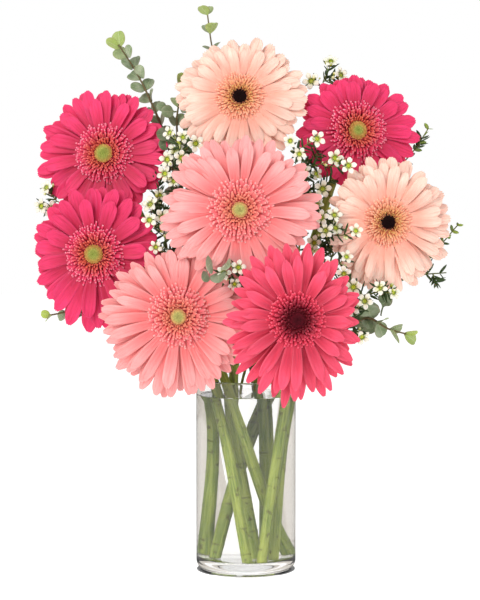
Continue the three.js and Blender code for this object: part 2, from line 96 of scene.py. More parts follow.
# The studio, in metres: camera, lamps (place, size and colour), and the cards behind the glass.
CAMERA_AT, CAMERA_AIM, LAMP_AIM = (-0.0048, -1.6, 0.311), (-0.0048, 0, 0.217), (0, 0, 0.27)
KEY = ((-1.15, -1.7, 1.5), 1.3, (1, 0.985, 0.96))
FILL = ((1.6, -1.2, 0.7), 1.2, (0.97, 0.98, 1))
CARD_AT, CARD_SIZE, CARD_LEAN, CARD_SHADE = (0.095, 0.17, 0.113), 0.13, -60, (0.74, 0.69, 0.63, 1)

# Gerberas by kind.
# Layers of rays: how many, share of the bloom's reach, height of the roots and lift in degrees.
# A ray: its width, the share of it at the root (neck), how much it narrows (taper), where the tip
# begins to close, how wide the end stays, its teeth, how it cups and ripples, and its greatest
# roll in degrees and droop.
# Fringe: how many rows and florets a row, the distances from the middle between which their tips
# stand, how high they rise in the middle of the fringe, and their width.
# Eye: its radius, and the spikes in the crown of a dark one.
KINDS = {
    "hot_pink": {
        "layers": ((22, 1.075, -2.1, 1), (22, 1.045, -1.0, 5), (11, 0.92, -0.2, 10)),
        "width": 11.8, "neck": 0.52, "taper": 0.06, "tip": 0.84, "end": 0.44, "teeth": 0.8,
        "cup": 0.12, "ripple": 0.5, "roll": 9, "droop": 0.07,
        "fringe": (11, 34, 8.6, 25.0, 4.2, 1.6), "eye": 7.2, "spikes": 0,
    },
    "pink": {
        "layers": ((28, 1.07, -2.2, 0), (28, 1.045, -1.3, 3.4), (22, 0.95, -0.4, 7)),
        "width": 9.6, "neck": 0.6, "taper": 0.08, "tip": 0.85, "end": 0.44, "teeth": 1.0,
        "cup": 0.12, "ripple": 0.8, "roll": 12, "droop": 0.08,
        "fringe": (11, 34, 7.4, 25.0, 3.8, 1.9), "eye": 5.8, "spikes": 0,
    },
    "peach": {
        "layers": ((28, 1.06, -2.2, -1), (28, 1.03, -1.2, 3.4), (22, 0.91, -0.3, 7.6)),
        "width": 9.8, "neck": 0.58, "taper": 0.04, "tip": 0.9, "end": 0.6, "teeth": 1.3,
        "cup": -0.28, "ripple": 1.7, "roll": 13, "droop": 0.1,
        "fringe": (8, 38, 7.0, 19.5, 2.6, 1.3), "eye": 4.8, "spikes": 13,
    },
    "coral": {
        "layers": ((26, 1.055, -2.1, -1), (26, 1.01, -1.1, 4), (17, 0.86, -0.3, 10)),
        "width": 10.0, "neck": 0.54, "taper": 0.2, "tip": 0.76, "end": 0.34, "teeth": 0.5,
        "cup": 0.2, "ripple": 0.9, "roll": 13, "droop": 0.11,
        "fringe": (9, 34, 7.6, 22.6, 3.8, 1.8), "eye": 5.2, "spikes": 14,
    },
}

# Blooms: middle of the hub's top, the way it faces (degrees to the right, degrees up), how far the
# rays reach to the right, up, left and down, and the stem's way point, place in the mouth and foot.
GERBERAS = {
    "gerbera_upper_left": {
        "kind": "hot_pink", "seed": 11, "at": (-113, -2, 334), "yaw": -14, "pitch": 8,
        "reach": (48, 49, 52, 45), "way": (-69, 23, 250), "mouth": (-15, -19), "foot": (25, 14),
    },
    "gerbera_lower_left": {
        "kind": "hot_pink", "seed": 12, "green": 0.86, "at": (-119, -32, 255), "yaw": -12,
        "pitch": 0, "reach": (50, 51, 46, 56), "way": (-68, 5, 206), "mouth": (-26, 1),
        "foot": (-21, 15),
    },
    "gerbera_top": {
        "kind": "peach", "seed": 13, "at": (-5, -30, 378), "yaw": 0, "pitch": 12,
        "reach": (49, 46, 47, 45), "way": (-6, 10, 260), "mouth": (9, 13), "foot": (11, 21),
    },
    "gerbera_centre": {
        "kind": "pink", "seed": 14, "at": (-5, -76, 290), "yaw": 0, "pitch": 6,
        "reach": (57, 54, 55, 49), "way": (-1, -30, 220), "mouth": (-10, -3), "foot": (7, -6),
    },
    "gerbera_upper_right": {
        "kind": "hot_pink", "seed": 15, "green": 0.72, "at": (88, -10, 352), "yaw": 14, "pitch": 8,
        "reach": (48, 42, 46, 42), "way": (50, 19, 250), "mouth": (14, 26), "foot": (-21, -4),
    },
    "gerbera_right": {
        "kind": "peach", "seed": 16, "at": (110, -44, 280), "yaw": 12, "pitch": 2,
        "reach": (49, 49, 44, 52), "way": (66, -3, 207), "mouth": (30, 7), "foot": (18, -14),
    },
    "gerbera_front_left": {
        "kind": "pink", "seed": 17, "at": (-52, -64, 208), "yaw": -6, "pitch": -2,
        "reach": (50, 50, 57, 58), "way": (-40, -26, 177), "mouth": (-24, -13), "foot": (2, -31),
    },
    "gerbera_front_right": {
        "kind": "coral", "seed": 18, "at": (38, -100, 208), "yaw": 5, "pitch": 0,
        "reach": (45, 55, 51, 60), "way": (32, -50, 185), "mouth": (27, -6), "foot": (11, -30),
    },
}

# Waxflower: the woody stem from its tip to its foot, the side branches (share of the stem's length
# from its tip where each forks off, and its way points), the tips of the leafy shoots, and the
# places of the open flowers. Bare and young name the branch, counted from 1, that bears no needles
# and the one whose end bears broad pale ones.
WAXFLOWERS = {
    "waxflower_left": {
        "seed": 31, "cut": 112, "bare": 1,
        "stem": ((-64, -20, 268), (-54, 8, 208), (-27, 15, 150), (27, 33, 24)),
        "branches": ((0.22, ((-92, 26, 258), (-122, 24, 284), (-152, 8, 296))),),
        "shoots": (
            (-62, -26, 290), (-52, -26, 262), (-74, -24, 252), (-48, -20, 238), (-70, -10, 314),
            (-98, 34, 246),
        ),
        "flowers": (
            (-75, -50, 282), (-65, -42, 284), (-75, -36, 294), (-70, -52, 261), (-59, -34, 270),
            (-61, -40, 252), (-60, -20, 276), (-68, -18, 301), (-160, 6, 307), (-164, 4, 292),
            (-156, 4, 290),
        ),
    },
    "waxflower_upper_left": {
        "seed": 32, "cut": 112,
        "stem": ((-54, -18, 326), (-38, 10, 240), (-19, 15, 150), (15, 19, 24)),
        "branches": (),
        "shoots": (
            (-48, -24, 318), (-42, -20, 352), (-56, -10, 304), (-22, 38, 304), (-44, 36, 282),
        ),
        "flowers": (
            (-49, -48, 346), (-39, -54, 341), (-50, -50, 330), (-60, -26, 350), (-62, -26, 329),
            (-64, -24, 318), (-55, -30, 337), (-57, -24, 312), (-24, 32, 290),
        ),
    },
    "waxflower_upper_right": {
        "seed": 33, "cut": 115, "bare": 1, "young": 2,
        "stem": ((44, -23, 328), (39, 24, 235), (-3, 18, 150), (3, 1, 24)),
        "branches": (
            (0.11, ((54, 8, 350), (62, 12, 392))),
            (0.3, ((66, 34, 272), (104, 22, 304), (134, 6, 336), (146, 9, 354))),
        ),
        "shoots": (
            (56, -24, 334), (46, -24, 306), (66, -20, 312), (56, -16, 292), (20, 40, 306),
            (52, 41, 296), (84, 38, 268), (140, 4, 346),
        ),
        "flowers": (
            (34, -52, 343), (41, -50, 333), (52, 4, 392), (68, 12, 408), (76, 10, 397),
            (55, -40, 345), (69, -42, 330), (79, -50, 324), (45, -36, 320), (60, -30, 306),
            (55, -24, 318), (26, 38, 292), (58, 40, 284),
        ),
    },
    "waxflower_right": {
        "seed": 34, "cut": 113, "young": 4,
        "stem": ((68, -38, 256), (50, 7, 195), (27, 17, 150), (5, 12, 24)),
        "branches": (
            (0.19, ((84, -42, 222), (106, -54, 227))),
            (0.12, ((74, -42, 218), (85, -48, 197))),
            (0.32, ((90, 8, 216), (134, -18, 237), (158, -24, 240))),
            (0.29, ((100, 14, 238), (150, -10, 258), (168, -10, 277))),
        ),
        "shoots": (
            (58, -30, 278), (62, -36, 262), (74, -40, 236), (52, -28, 246), (150, -22, 233),
            (142, -24, 246), (88, -40, 212), (84, 32, 222),
        ),
        "flowers": (
            (58, -58, 284), (69, -56, 276), (53, -42, 264), (68, -58, 286), (61, -60, 274),
            (55, -46, 294), (84, -66, 274), (65, -62, 247), (77, -64, 254), (75, -66, 241),
            (82, -70, 231), (91, -66, 220), (103, -62, 230), (114, -56, 226), (81, -60, 214),
            (90, -50, 191),
        ),
    },
    "waxflower_centre": {
        "seed": 35, "cut": 118,
        "stem": ((-13, -58, 240), (-14, -26, 195), (-9, -10, 150), (18, -9, 24)),
        "branches": (),
        "shoots": ((2, -66, 236), (-26, -62, 232), (4, -54, 218)),
        "flowers": ((-17, -88, 243), (-6, -90, 247), (-9, -84, 234)),
    },
}

# Eucalyptus: how far the leaves turn to the front, the stem's radius, its leafy share, the pairs of
# leaves on that share, the leaves' radius at its tip and at its bottom, the cut end's height, the
# stem from its tip to its foot, and single leaves that stand off the stem (place and radius).
EUCALYPTUS = {
    "eucalyptus_upper_left": {
        "seed": 51, "turn": 1.1, "radius": 1.2, "leafy": 0.34, "pairs": 14,
        "leaf": (5, 5), "cut": 118,
        "path": (
            (-102, 8, 421), (-89, 12, 401), (-75, 10, 373), (-62, 16, 338), (-45, 30, 235),
            (-9, 28, 150), (4, 45, 34),
        ),
        "singles": (),
    },
    "eucalyptus_top": {
        "seed": 52, "turn": 0.1, "radius": 1.1, "leafy": 0.3, "pairs": 8,
        "leaf": (4, 7), "cut": 114,
        "path": (
            (-31, 8, 447), (-28, 8, 424), (-21, 8, 385), (-14, 28, 250), (5, 33, 150), (11, 22, 74),
        ),
        "singles": (),
    },
    "eucalyptus_left": {
        "seed": 53, "turn": 1.1, "radius": 1.3, "leafy": 0.4, "pairs": 9,
        "leaf": (5, 7.5), "cut": 112,
        "path": (
            (-50, -6, 388), (-55, -6, 360), (-50, 6, 320), (-26, 36, 230), (-17, 28, 150),
            (-1, 19, 64),
        ),
        "singles": (
            (-48, -12, 371, 5.5), (-62, -12, 367, 5.5), (-67, -10, 371, 4), (-66, -14, 349, 5.5),
            (-65, -14, 341, 5), (-45, -12, 357, 5.5), (-47, -14, 382, 4),
        ),
    },
    "eucalyptus_lower_left": {
        "seed": 54, "turn": 0.9, "radius": 1.3, "leafy": 0.3, "pairs": 5,
        "leaf": (3.4, 5.4), "cut": 114,
        "path": ((-156, -18, 206), (-136, -12, 208), (-76, 2, 190), (-29, 7, 150), (-4, 19, 79)),
        "singles": (),
    },
    "eucalyptus_lower_right": {
        "seed": 55, "turn": 0.9, "radius": 1.3, "leafy": 0.34, "pairs": 6,
        "leaf": (5, 7.5), "cut": 116,
        "path": (
            (126, -30, 192), (112, -31, 196), (96, -24, 204), (66, 6, 182), (26, 13, 150),
            (25, 6, 79),
        ),
        "singles": ((96, -36, 211, 9), (109, -40, 220, 6)),
    },
    "eucalyptus_centre": {
        "seed": 56, "turn": 1.1, "radius": 1.2, "leafy": 0.3, "pairs": 4,
        "leaf": (7, 8), "cut": 116,
        "path": ((-21, -62, 257), (-19, -50, 243), (-18, -14, 200), (-17, 0, 150), (-10, 24, 54)),
        "singles": (
            (-28, -92, 249, 7.5), (-21, -92, 240, 7), (-15, -90, 249, 6), (-31, -88, 240, 5),
        ),
    },
}


# ---------------------------------------------------------------- settings


def tint(red, green, blue):
    """A colour given as 0 to 255 a channel, as the shaders want it."""
    return tuple(
        c / 3294.6 if c <= 10.31 else ((c / 255 + 0.055) / 1.055) ** 2.4 for c in (red, green, blue)
    ) + (1.0,)


def length(name, description, value):
    """A length in metres, given here in millimetres."""
    return FloatProperty(
        name=name, description=description, default=value * MM, min=0, unit="LENGTH", precision=4
    )


def colour(name, description, value):
    """A colour with its alpha."""
    return FloatVectorProperty(
        name=name, description=description, default=value, size=4, min=0, max=1, subtype="COLOR"
    )


class VaseSettings(bpy.types.PropertyGroup):
    radius: length("Radius", "Outer radius of the cylinder", VASE_HIGH.x / MM)
    height: length("Height", "Height of the rim", VASE_HIGH.z / MM)
    wall: length("Wall", "Thickness of the glass wall", 3)
    base: length("Base", "Thickness of the glass under the water", 10)
    heel: length("Heel", "Rounding where the wall turns into the foot", 8)
    water_level: length("Water level", "Height of the water", WATER_LEVEL / MM)
    steps: IntProperty(name="Steps", description="Faces round the glass", default=128, min=24)
    glass: colour("Glass", "Tint of the glass", (0.975, 0.968, 0.96, 1))
    water: colour("Water", "Tint of the water", (0.995, 1, 0.995, 1))


class GerberaSettings(bpy.types.PropertyGroup):
    thickness: length("Ray thickness", "Thickness of a ray", 0.4)
    groove: length("Grooves", "Depth of the two grooves along a ray", 0.42)
    stem: length("Stem radius", "Radius of the stems", 3.8)
    hot_pink: colour("Hot pink", "Rays of the hot pink gerberas", tint(238, 50, 108))
    pink: colour("Light pink", "Rays of the light pink gerberas", tint(253, 172, 170))
    peach: colour("Peach", "Rays of the peach gerberas", tint(255, 215, 198))
    coral: colour("Coral", "Rays of the coral gerbera", tint(245, 80, 112))
    green: colour("Stem", "Stems and bracts", tint(142, 156, 72))


class FillerSettings(bpy.types.PropertyGroup):
    flower: length("Waxflower", "Radius of an open waxflower", 6.7)
    needle: length("Needle", "Length of a waxflower needle", 9.5)
    petal: colour("Petal", "Waxflower petals", tint(254, 250, 238))
    cup: colour("Cup", "Waxflower cups", tint(172, 178, 42))
    needles: colour("Needles", "Waxflower needles", tint(66, 86, 42))
    wood: colour("Wood", "Waxflower twigs", tint(128, 132, 60))
    leaf: colour("Leaf", "Eucalyptus leaves", tint(158, 168, 138))
    leaf_stem: colour("Leaf stem", "Eucalyptus stems", tint(122, 104, 70))


class StudioSettings(bpy.types.PropertyGroup):
    lens: FloatProperty(name="Lens", description="Focal length", default=120, min=20, unit="CAMERA")
    dome: FloatProperty(name="Dome", description="Light from all round", default=0.6, min=0)
    mirrored: FloatProperty(name="Mirrored", description="Dome in reflections", default=0.2, min=0)
    key: FloatProperty(name="Key", description="Main light", default=30, min=0, unit="POWER")
    fill: FloatProperty(
        name="Fill", description="Light from the right", default=8, min=0, unit="POWER"
    )
    floor: colour("Floor", "The table that the vase stands on", (0.9, 0.9, 0.9, 1))


# ---------------------------------------------------------------- finishes


class Finish:
    """A material being mixed: one surface shader, and the nodes that feed it."""

    def __init__(self, name, **sockets):
        self.material = bpy.data.materials.new(name)
        self.material.use_nodes = True
        self.nodes = self.material.node_tree.nodes
        self.links = self.material.node_tree.links
        self.shader = self.nodes["Principled BSDF"]
        for socket, value in sockets.items():
            self.shader.inputs[socket.replace("_", " ")].default_value = value

    def node(self, kind, inputs=None, **settings):
        """A node with its inputs linked or set."""
        made = self.nodes.new("ShaderNode" + kind)
        for key, value in settings.items():
            setattr(made, key, value)
        for key, value in (inputs or {}).items():
            if isinstance(value, bpy.types.NodeSocket):
                self.links.new(value, made.inputs[key])
            else:
                made.inputs[key].default_value = value
        return made

    def spot(self):
        """Across, along and tone, as each corner of the piece keeps them."""
        kept = self.node("Attribute", attribute_name="spot")
        apart = self.node("SeparateXYZ", {0: kept.outputs["Vector"]})
        return apart.outputs[0], apart.outputs[1], apart.outputs[2]

    def math(self, operation, first, second=0.0):
        return self.node("Math", {0: first, 1: second}, operation=operation).outputs[0]

    def times(self, first, second):
        return self.math("MULTIPLY", first, second)

    def noise(self, vector, scale, detail=2.0, rough=0.5):
        inputs = {"Vector": vector, "Scale": scale, "Detail": detail, "Roughness": rough}
        return self.node("TexNoise", inputs).outputs["Fac"]

    def grain(self, scale, detail=2.0):
        """Noise that lies in the piece itself."""
        return self.noise(self.node("TexCoord").outputs["Object"], scale, detail)

    def streaks(self, across, along, seed, scale, detail=2.0, rough=0.5):
        """Noise drawn out along a ray, leaf or stem, and shifted by its seed."""
        drawn = self.node("CombineXYZ", {0: across, 1: along, 2: seed}).outputs[0]
        return self.noise(drawn, scale, detail, rough)

    def span(self, value, low, high, to_low=0.0, to_high=1.0):
        """A value from low to high, mapped to another span."""
        inputs = {0: value, 1: low, 2: high, 3: to_low, 4: to_high}
        return self.node("MapRange", inputs).outputs[0]

    def ramp(self, factor, stops):
        """Colours at places from 0 to 1."""
        made = self.node("ValToRGB", {0: factor})
        steps = made.color_ramp.elements
        for step, (at, value) in zip(
            [steps[0]] + [steps.new(at) for at, _ in stops[1:-1]] + [steps[-1]],
            [stops[0]] + list(stops[1:-1]) + [stops[-1]],
        ):
            step.position, step.color = at, value
        return made.outputs[0]

    def mix(self, factor, first, second):
        inputs = {0: factor, 6: first, 7: second}
        return self.node("Mix", inputs, data_type="RGBA").outputs[2]

    def feed(self, socket, value):
        self.links.new(value, self.shader.inputs[socket])

    def paint(self, shade, tone, dark, light):
        """The colour, darker or lighter by the tone of each ray, leaf or bud."""
        inputs = {"Value": self.span(tone, 0.0, 1.0, dark, light), "Color": shade}
        self.feed("Base Color", self.node("HueSaturation", inputs).outputs[0])

    def roughen(self, pattern, low, high):
        """Roughness that follows a pattern."""
        self.feed("Roughness", self.span(pattern, 0.3, 0.7, low, high))

    def bump(self, height, depth, strength=0.5):
        inputs = {"Height": height, "Distance": depth * MM, "Strength": strength}
        self.feed("Normal", self.node("Bump", inputs).outputs[0])


def shaded(shade, red, green, blue):
    """A colour with each channel scaled."""
    return (min(1, shade[0] * red), min(1, shade[1] * green), min(1, shade[2] * blue), 1)


RAY_TONES = {  # scales of the kind's colour: root, streaks, edges and underside
    "hot_pink": ((0.68, 0.4, 0.46), (0.62, 0.26, 0.36), (1.04, 1.9, 1.4), (0.98, 2.6, 1.7)),
    "pink": ((0.98, 0.42, 0.44), (0.97, 0.58, 0.58), (1.0, 1.12, 1.1), (0.98, 1.12, 1.08)),
    "peach": ((1.0, 0.6, 0.54), (1.0, 0.62, 0.57), (1.0, 1.06, 1.04), (1.0, 1.0, 1.0)),
    "coral": ((0.6, 0.24, 0.36), (0.8, 0.42, 0.5), (1.03, 1.8, 1.4), (0.98, 2.2, 1.6)),
}


def ray_finish(kind, body, under=False):
    """The rays: satin, finely veined, with deeper streaks from the root and paler edges."""
    root, streak, edge, back = (shaded(body, *scales) for scales in RAY_TONES[kind])
    if under:
        root, body, streak = back, back, shaded(back, 0.9, 0.8, 0.8)
    made = Finish(
        f"{kind} ray {'underside' if under else 'face'}",
        Roughness=0.5,
        Subsurface_Weight=0.18,
        Subsurface_Scale=0.0012,
        Subsurface_Radius=(1.0, 0.5, 0.42),
        Sheen_Weight=0.12,
        Sheen_Roughness=0.45,
        Specular_IOR_Level=0.36,
    )
    across, along, tone = made.spot()
    seed = made.times(tone, 61.0)
    wide = made.math("ADD", made.times(across, 2.4), 0.5)
    streaks = made.streaks(wide, made.times(along, 0.9), seed, 1.7, 3.0, 0.6)
    streaks = made.span(streaks, 0.5, 0.72)
    veins = made.streaks(made.times(across, 13.0), made.times(along, 2.2), seed, 1.6)
    colours = made.ramp(along, ((0.0, root), (0.3, root), (0.66, body), (1.0, body)))
    fade = made.span(along, 0.3, 1.0, 1.0, 0.6)
    colours = made.mix(made.times(streaks, fade), colours, streak)
    colours = made.mix(made.span(veins, 0.45, 0.7, 0.0, 0.5), colours, streak)
    rim = made.math("POWER", made.math("ABSOLUTE", across), 4.0)
    rim = made.math("MAXIMUM", rim, made.math("POWER", along, 14.0))
    colours = made.mix(made.times(rim, 0.4), colours, edge)
    made.paint(colours, tone, 0.9, 1.06)
    made.roughen(veins, 0.44, 0.6)
    made.bump(made.math("ADD", veins, made.times(streaks, 0.4)), 0.3, 0.55)
    return made.material


FRINGE_TINTS = {  # inner florets, outer florets, painted shade between them at their roots, tips
    "hot_pink": (tint(236, 110, 84), tint(238, 58, 104), tint(196, 20, 68), tint(255, 164, 184)),
    "pink": (tint(246, 148, 118), tint(252, 128, 132), tint(236, 88, 98), tint(255, 192, 184)),
    "peach": (tint(230, 176, 98), tint(253, 174, 146), tint(246, 150, 116), tint(254, 208, 176)),
    "coral": (tint(112, 10, 28), tint(238, 56, 88), tint(150, 8, 38), tint(252, 110, 132)),
}


def fringe_finish(kind):
    """The fringe: small florets with painted shade at their roots, light at the tip, and warmer
    near the eye.
    """
    inner, outer, shade, tip = FRINGE_TINTS[kind]
    made = Finish(
        f"{kind} fringe",
        Roughness=0.5,
        Subsurface_Weight=0.15,
        Subsurface_Scale=0.001,
        Subsurface_Radius=(1.0, 0.4, 0.3),
        Specular_IOR_Level=0.36,
    )
    across, along, tone = made.spot()
    body = made.mix(made.span(tone, 0.2, 0.75), inner, outer)
    grain = made.grain(900.0, 1.0)
    # painted shade for the florets' roots, less deep in the rows near the eye
    shade = made.mix(made.span(tone, 0.05, 0.4), shaded(inner, 0.8, 0.6, 0.6), shade)
    # each floret darkens towards its root with the painted shade
    root = made.mix(made.span(along, 0.2, 0.86, 0.95, 0.0), body, shade)
    tips = made.times(made.span(along, 0.78, 0.94), made.span(grain, 0.35, 0.6, 0.3, 1.0))
    tips = made.times(tips, made.span(tone, 0.1, 0.55, 0.25, 1.0))
    made.feed("Base Color", made.mix(tips, root, tip))
    made.roughen(grain, 0.42, 0.6)
    made.bump(made.math("ABSOLUTE", across), 0.2, 0.4)
    return made.material


EYE_TINTS = {  # middle, ring and rim of the eye, and the tips of its buds
    "hot_pink": (tint(152, 172, 70), tint(178, 184, 86), tint(216, 132, 66), tint(204, 210, 124)),
    "pink": (tint(160, 152, 76), tint(184, 180, 100), tint(230, 150, 100), tint(216, 208, 140)),
    "peach": (tint(5, 2, 3), tint(8, 3, 3), tint(20, 5, 5), tint(44, 14, 14)),
    "coral": (tint(18, 4, 8), tint(46, 5, 14), tint(92, 8, 26), tint(116, 22, 38)),
}


def eye_finish(kind):
    """The eye: packed buds, lighter at their tips, in rings of colour from the middle out."""
    middle, ring, rim, tip = EYE_TINTS[kind]
    made = Finish(f"{kind} eye", Roughness=0.7, Specular_IOR_Level=0.14)
    high, out, tone = made.spot()
    colours = made.ramp(out, ((0.0, middle), (0.55, ring), (1.0, rim)))
    grain = made.grain(1400.0, 2.0)
    tips = made.times(made.span(high, 0.45, 1.0), made.span(grain, 0.3, 0.7, 0.3, 0.9))
    colours = made.mix(tips, colours, tip)
    made.paint(colours, tone, 0.8, 1.12)
    made.roughen(grain, 0.5, 0.75)
    made.bump(grain, 0.2, 0.5)
    return made.material


def stem_finish(green):
    """Stems and bracts: green with fine ribs, scars where leaves stood, and small brown specks."""
    made = Finish(
        "gerbera stem",
        Roughness=0.5,
        Specular_IOR_Level=0.22,
        Subsurface_Weight=0.06,
        Subsurface_Scale=0.002,
        Subsurface_Radius=(0.6, 1.0, 0.3),
    )
    around, along, tone = made.spot()
    ribs = made.streaks(made.times(around, 3.6), made.times(along, 4.0), tone, 2.4, 3.0)
    blotch = made.grain(38.0, 3.0)
    colours = made.mix(made.span(ribs, 0.4, 0.6), shaded(green, 0.46, 0.56, 0.36), green)
    pale = shaded(green, 1.5, 1.3, 1.3)
    colours = made.mix(made.span(blotch, 0.42, 0.7, 0.0, 0.5), colours, pale)
    shift = made.times(tone, SCAR_SHIFT)
    ring = made.math("FRACT", made.math("ADD", made.times(along, SCARS), shift))
    ring = made.math("ABSOLUTE", made.math("SUBTRACT", ring, 0.5))
    ring = made.span(ring, 0.012, 0.032, 1.0, 0.0)
    ring = made.times(ring, made.span(made.grain(95.0, 1.0), 0.46, 0.58, 0.1, 0.9))
    specks = made.span(made.grain(230.0, 1.0), 0.66, 0.7)
    marks = made.math("MAXIMUM", ring, specks)
    colours = made.mix(made.times(marks, 0.75), colours, tint(82, 78, 28))
    made.paint(colours, tone, 0.86, 1.2)
    made.roughen(ribs, 0.38, 0.58)
    made.bump(made.math("SUBTRACT", made.math("ADD", ribs, made.grain(1500.0)), marks), 0.35)
    return made.material


def wax_petal_finish(petal):
    """Waxflower petals: waxy cream, greener at the root."""
    made = Finish(
        "waxflower petal",
        Roughness=0.34,
        Subsurface_Weight=0.25,
        Subsurface_Scale=0.0012,
        Subsurface_Radius=(1.0, 0.9, 0.7),
    )
    across, along, tone = made.spot()
    veins = made.streaks(made.times(across, 5.0), along, made.times(tone, 40.0), 2.0)
    colours = made.ramp(
        along, ((0.0, tint(196, 200, 112)), (0.3, shaded(petal, 0.97, 0.96, 0.84)), (1.0, petal))
    )
    deep = shaded(petal, 0.86, 0.84, 0.7)
    colours = made.mix(made.span(veins, 0.5, 0.75, 0.0, 0.4), colours, deep)
    made.paint(colours, tone, 0.9, 1.02)
    made.bump(veins, 0.15, 0.4)
    return made.material


def wax_cup_finish(cup):
    """Waxflower cups and buds: glossy yellow-green, with a dark ring round the bright dish."""
    made = Finish("waxflower cup", Roughness=0.3, Subsurface_Weight=0.08, Subsurface_Scale=0.001)
    inward, along, tone = made.spot()
    grain = made.grain(700.0, 2.0)
    stops = (
        (0.0, cup),
        (0.5, shaded(cup, 1.2, 1.2, 1.6)),
        (0.56, shaded(cup, 0.32, 0.42, 0.3)),
        (0.68, shaded(cup, 0.5, 0.62, 0.3)),
        (0.82, shaded(cup, 1.4, 1.42, 1.1)),
        (1.0, shaded(cup, 0.6, 0.8, 0.4)),
    )
    colours = made.ramp(inward, stops)
    colours = made.mix(made.span(along, 0.0, 1.0, 0.0, 0.85), colours, tint(244, 240, 206))
    deep = shaded(cup, 0.6, 0.75, 0.4)
    colours = made.mix(made.span(grain, 0.45, 0.7, 0.0, 0.35), colours, deep)
    made.paint(colours, tone, 0.8, 1.15)
    made.bump(grain, 0.15, 0.4)
    return made.material


def twig_finish(name, shade, gloss):
    """Twigs, needles and thin stems: streaked lengthwise and mottled, and pale where young."""
    made = Finish(name, Roughness=gloss, Subsurface_Weight=0.05, Subsurface_Scale=0.001)
    around, along, tone = made.spot()
    bark = made.streaks(made.times(around, 4.0), made.times(along, 9.0), tone, 2.2, 3.0)
    blotch = made.grain(90.0, 2.0)
    colours = made.mix(made.span(bark, 0.35, 0.7), shaded(shade, 0.6, 0.7, 0.6), shade)
    colours = made.mix(made.span(tone, 1.0, 1.8), colours, tint(128, 146, 58))
    pale = shaded(shade, 1.7, 1.45, 1.3)
    colours = made.mix(made.span(blotch, 0.5, 0.8, 0.0, 0.5), colours, pale)
    made.paint(colours, tone, 0.7, 1.3)
    made.roughen(bark, gloss - 0.08, gloss + 0.1)
    made.bump(bark, 0.25, 0.6)
    return made.material


def leaf_finish(leaf):
    """Eucalyptus leaves: bloomy grey-green with a pale midrib, side veins and a ruddy edge."""
    made = Finish(
        "eucalyptus leaf",
        Roughness=0.58,
        Sheen_Weight=0.2,
        Sheen_Roughness=0.6,
        Subsurface_Weight=0.08,
        Subsurface_Scale=0.001,
        Subsurface_Radius=(0.6, 1.0, 0.4),
    )
    across, along, tone = made.spot()
    side = made.math("ABSOLUTE", across)
    blotch = made.grain(120.0, 3.0)
    colours = made.mix(made.span(blotch, 0.35, 0.65), shaded(leaf, 0.5, 0.62, 0.42), leaf)
    colours = made.mix(made.span(tone, 1.0, 2.0), colours, tint(160, 178, 70))
    slant = made.math("ADD", along, made.times(side, -0.32))
    veins = made.math("ABSOLUTE", made.math("SINE", made.times(slant, 22.0)))
    veins = made.span(veins, 0.0, 0.16, 0.5, 0.0)
    rib = made.span(side, 0.0, 0.07, 0.8, 0.0)
    lines = made.math("MAXIMUM", veins, rib)
    colours = made.mix(lines, colours, shaded(leaf, 1.25, 1.25, 1.1))
    colours = made.mix(made.span(side, 0.86, 1.0, 0.0, 0.35), colours, tint(150, 98, 78))
    made.paint(colours, tone, 0.78, 1.15)
    made.roughen(blotch, 0.5, 0.68)
    made.bump(made.math("ADD", lines, made.times(blotch, 0.5)), 0.2, 0.5)
    return made.material


def clear_finish(name, shade, bend, waviness, depth):
    """Glass or water: clear, with the faintest waviness in its surface."""
    made = Finish(name, Base_Color=shade, Roughness=0.0, IOR=bend, Transmission_Weight=1.0)
    made.bump(made.grain(waviness, 1.0), depth, 0.15)
    return made.material


def floor_finish(shade):
    """The table: matt white, with a little light of its own to stay as pale as the dome."""
    made = Finish(
        "table",
        Roughness=0.9,
        Specular_IOR_Level=0.0,
        Emission_Color=(1, 1, 1, 1),
        Emission_Strength=0.52,
    )
    grain = made.grain(60.0, 2.0)
    made.feed("Base Color", made.mix(grain, shade, shaded(shade, 1.02, 1.02, 1.02)))
    return made.material


# ---------------------------------------------------------------- shaping


def started():
    """An empty mesh whose corners keep across, along and tone for their finish."""
    mesh = bmesh.new()
    mesh.verts.layers.float_vector.new("spot")
    return mesh


def mark(mesh, spot_at):
    """Keeps across, along and tone at each corner, worked out from its place."""
    spot = mesh.verts.layers.float_vector["spot"]
    for corner in mesh.verts:
        corner[spot] = spot_at(corner.co)


def thicken(mesh, thickness):
    """Gives every sheet of a mesh its thickness, with the faces outward."""
    bmesh.ops.solidify(mesh, geom=mesh.faces[:], thickness=thickness)
    bmesh.ops.recalc_face_normals(mesh, faces=mesh.faces)


def eased(value):
    """0 to 1, gently at both ends."""
    value = min(1, max(0, value))
    return value * value * (3 - 2 * value)


def polar(turn):
    """The directions out from the middle at an angle, and to its right."""
    return Vector((math.cos(turn), math.sin(turn), 0)), Vector((math.sin(turn), -math.cos(turn), 0))


def smooth_line(points, steps):
    """Evenly spaced points on the centripetal curve through the given ones."""
    points = [Vector(p) for p in points]
    ends = [2 * points[0] - points[1]] + points + [2 * points[-1] - points[-2]]
    dense = [points[0]]
    for a, b, c, d in zip(ends, ends[1:], ends[2:], ends[3:]):
        before, here, after = ((q - p).length ** 0.5 for p, q in ((a, b), (b, c), (c, d)))
        leave = ((b - a) / before - (c - a) / (before + here) + (c - b) / here) * here
        arrive = ((c - b) / here - (d - b) / (here + after) + (d - c) / after) * here
        for i in range(1, 25):
            t = i / 24
            dense.append(
                b * (2 * t**3 - 3 * t**2 + 1) + leave * (t**3 - 2 * t**2 + t)
                + c * (3 * t**2 - 2 * t**3) + arrive * (t**3 - t**2)
            )
    lengths = [0.0]
    for p, q in zip(dense, dense[1:]):
        lengths.append(lengths[-1] + (q - p).length)
    spaced, i = [], 0
    for step in range(steps + 1):
        goal = lengths[-1] * step / steps
        while i < len(dense) - 2 and lengths[i + 1] < goal:
            i += 1
        share = (goal - lengths[i]) / max(1e-9, lengths[i + 1] - lengths[i])
        spaced.append(dense[i].lerp(dense[i + 1], share))
    return spaced


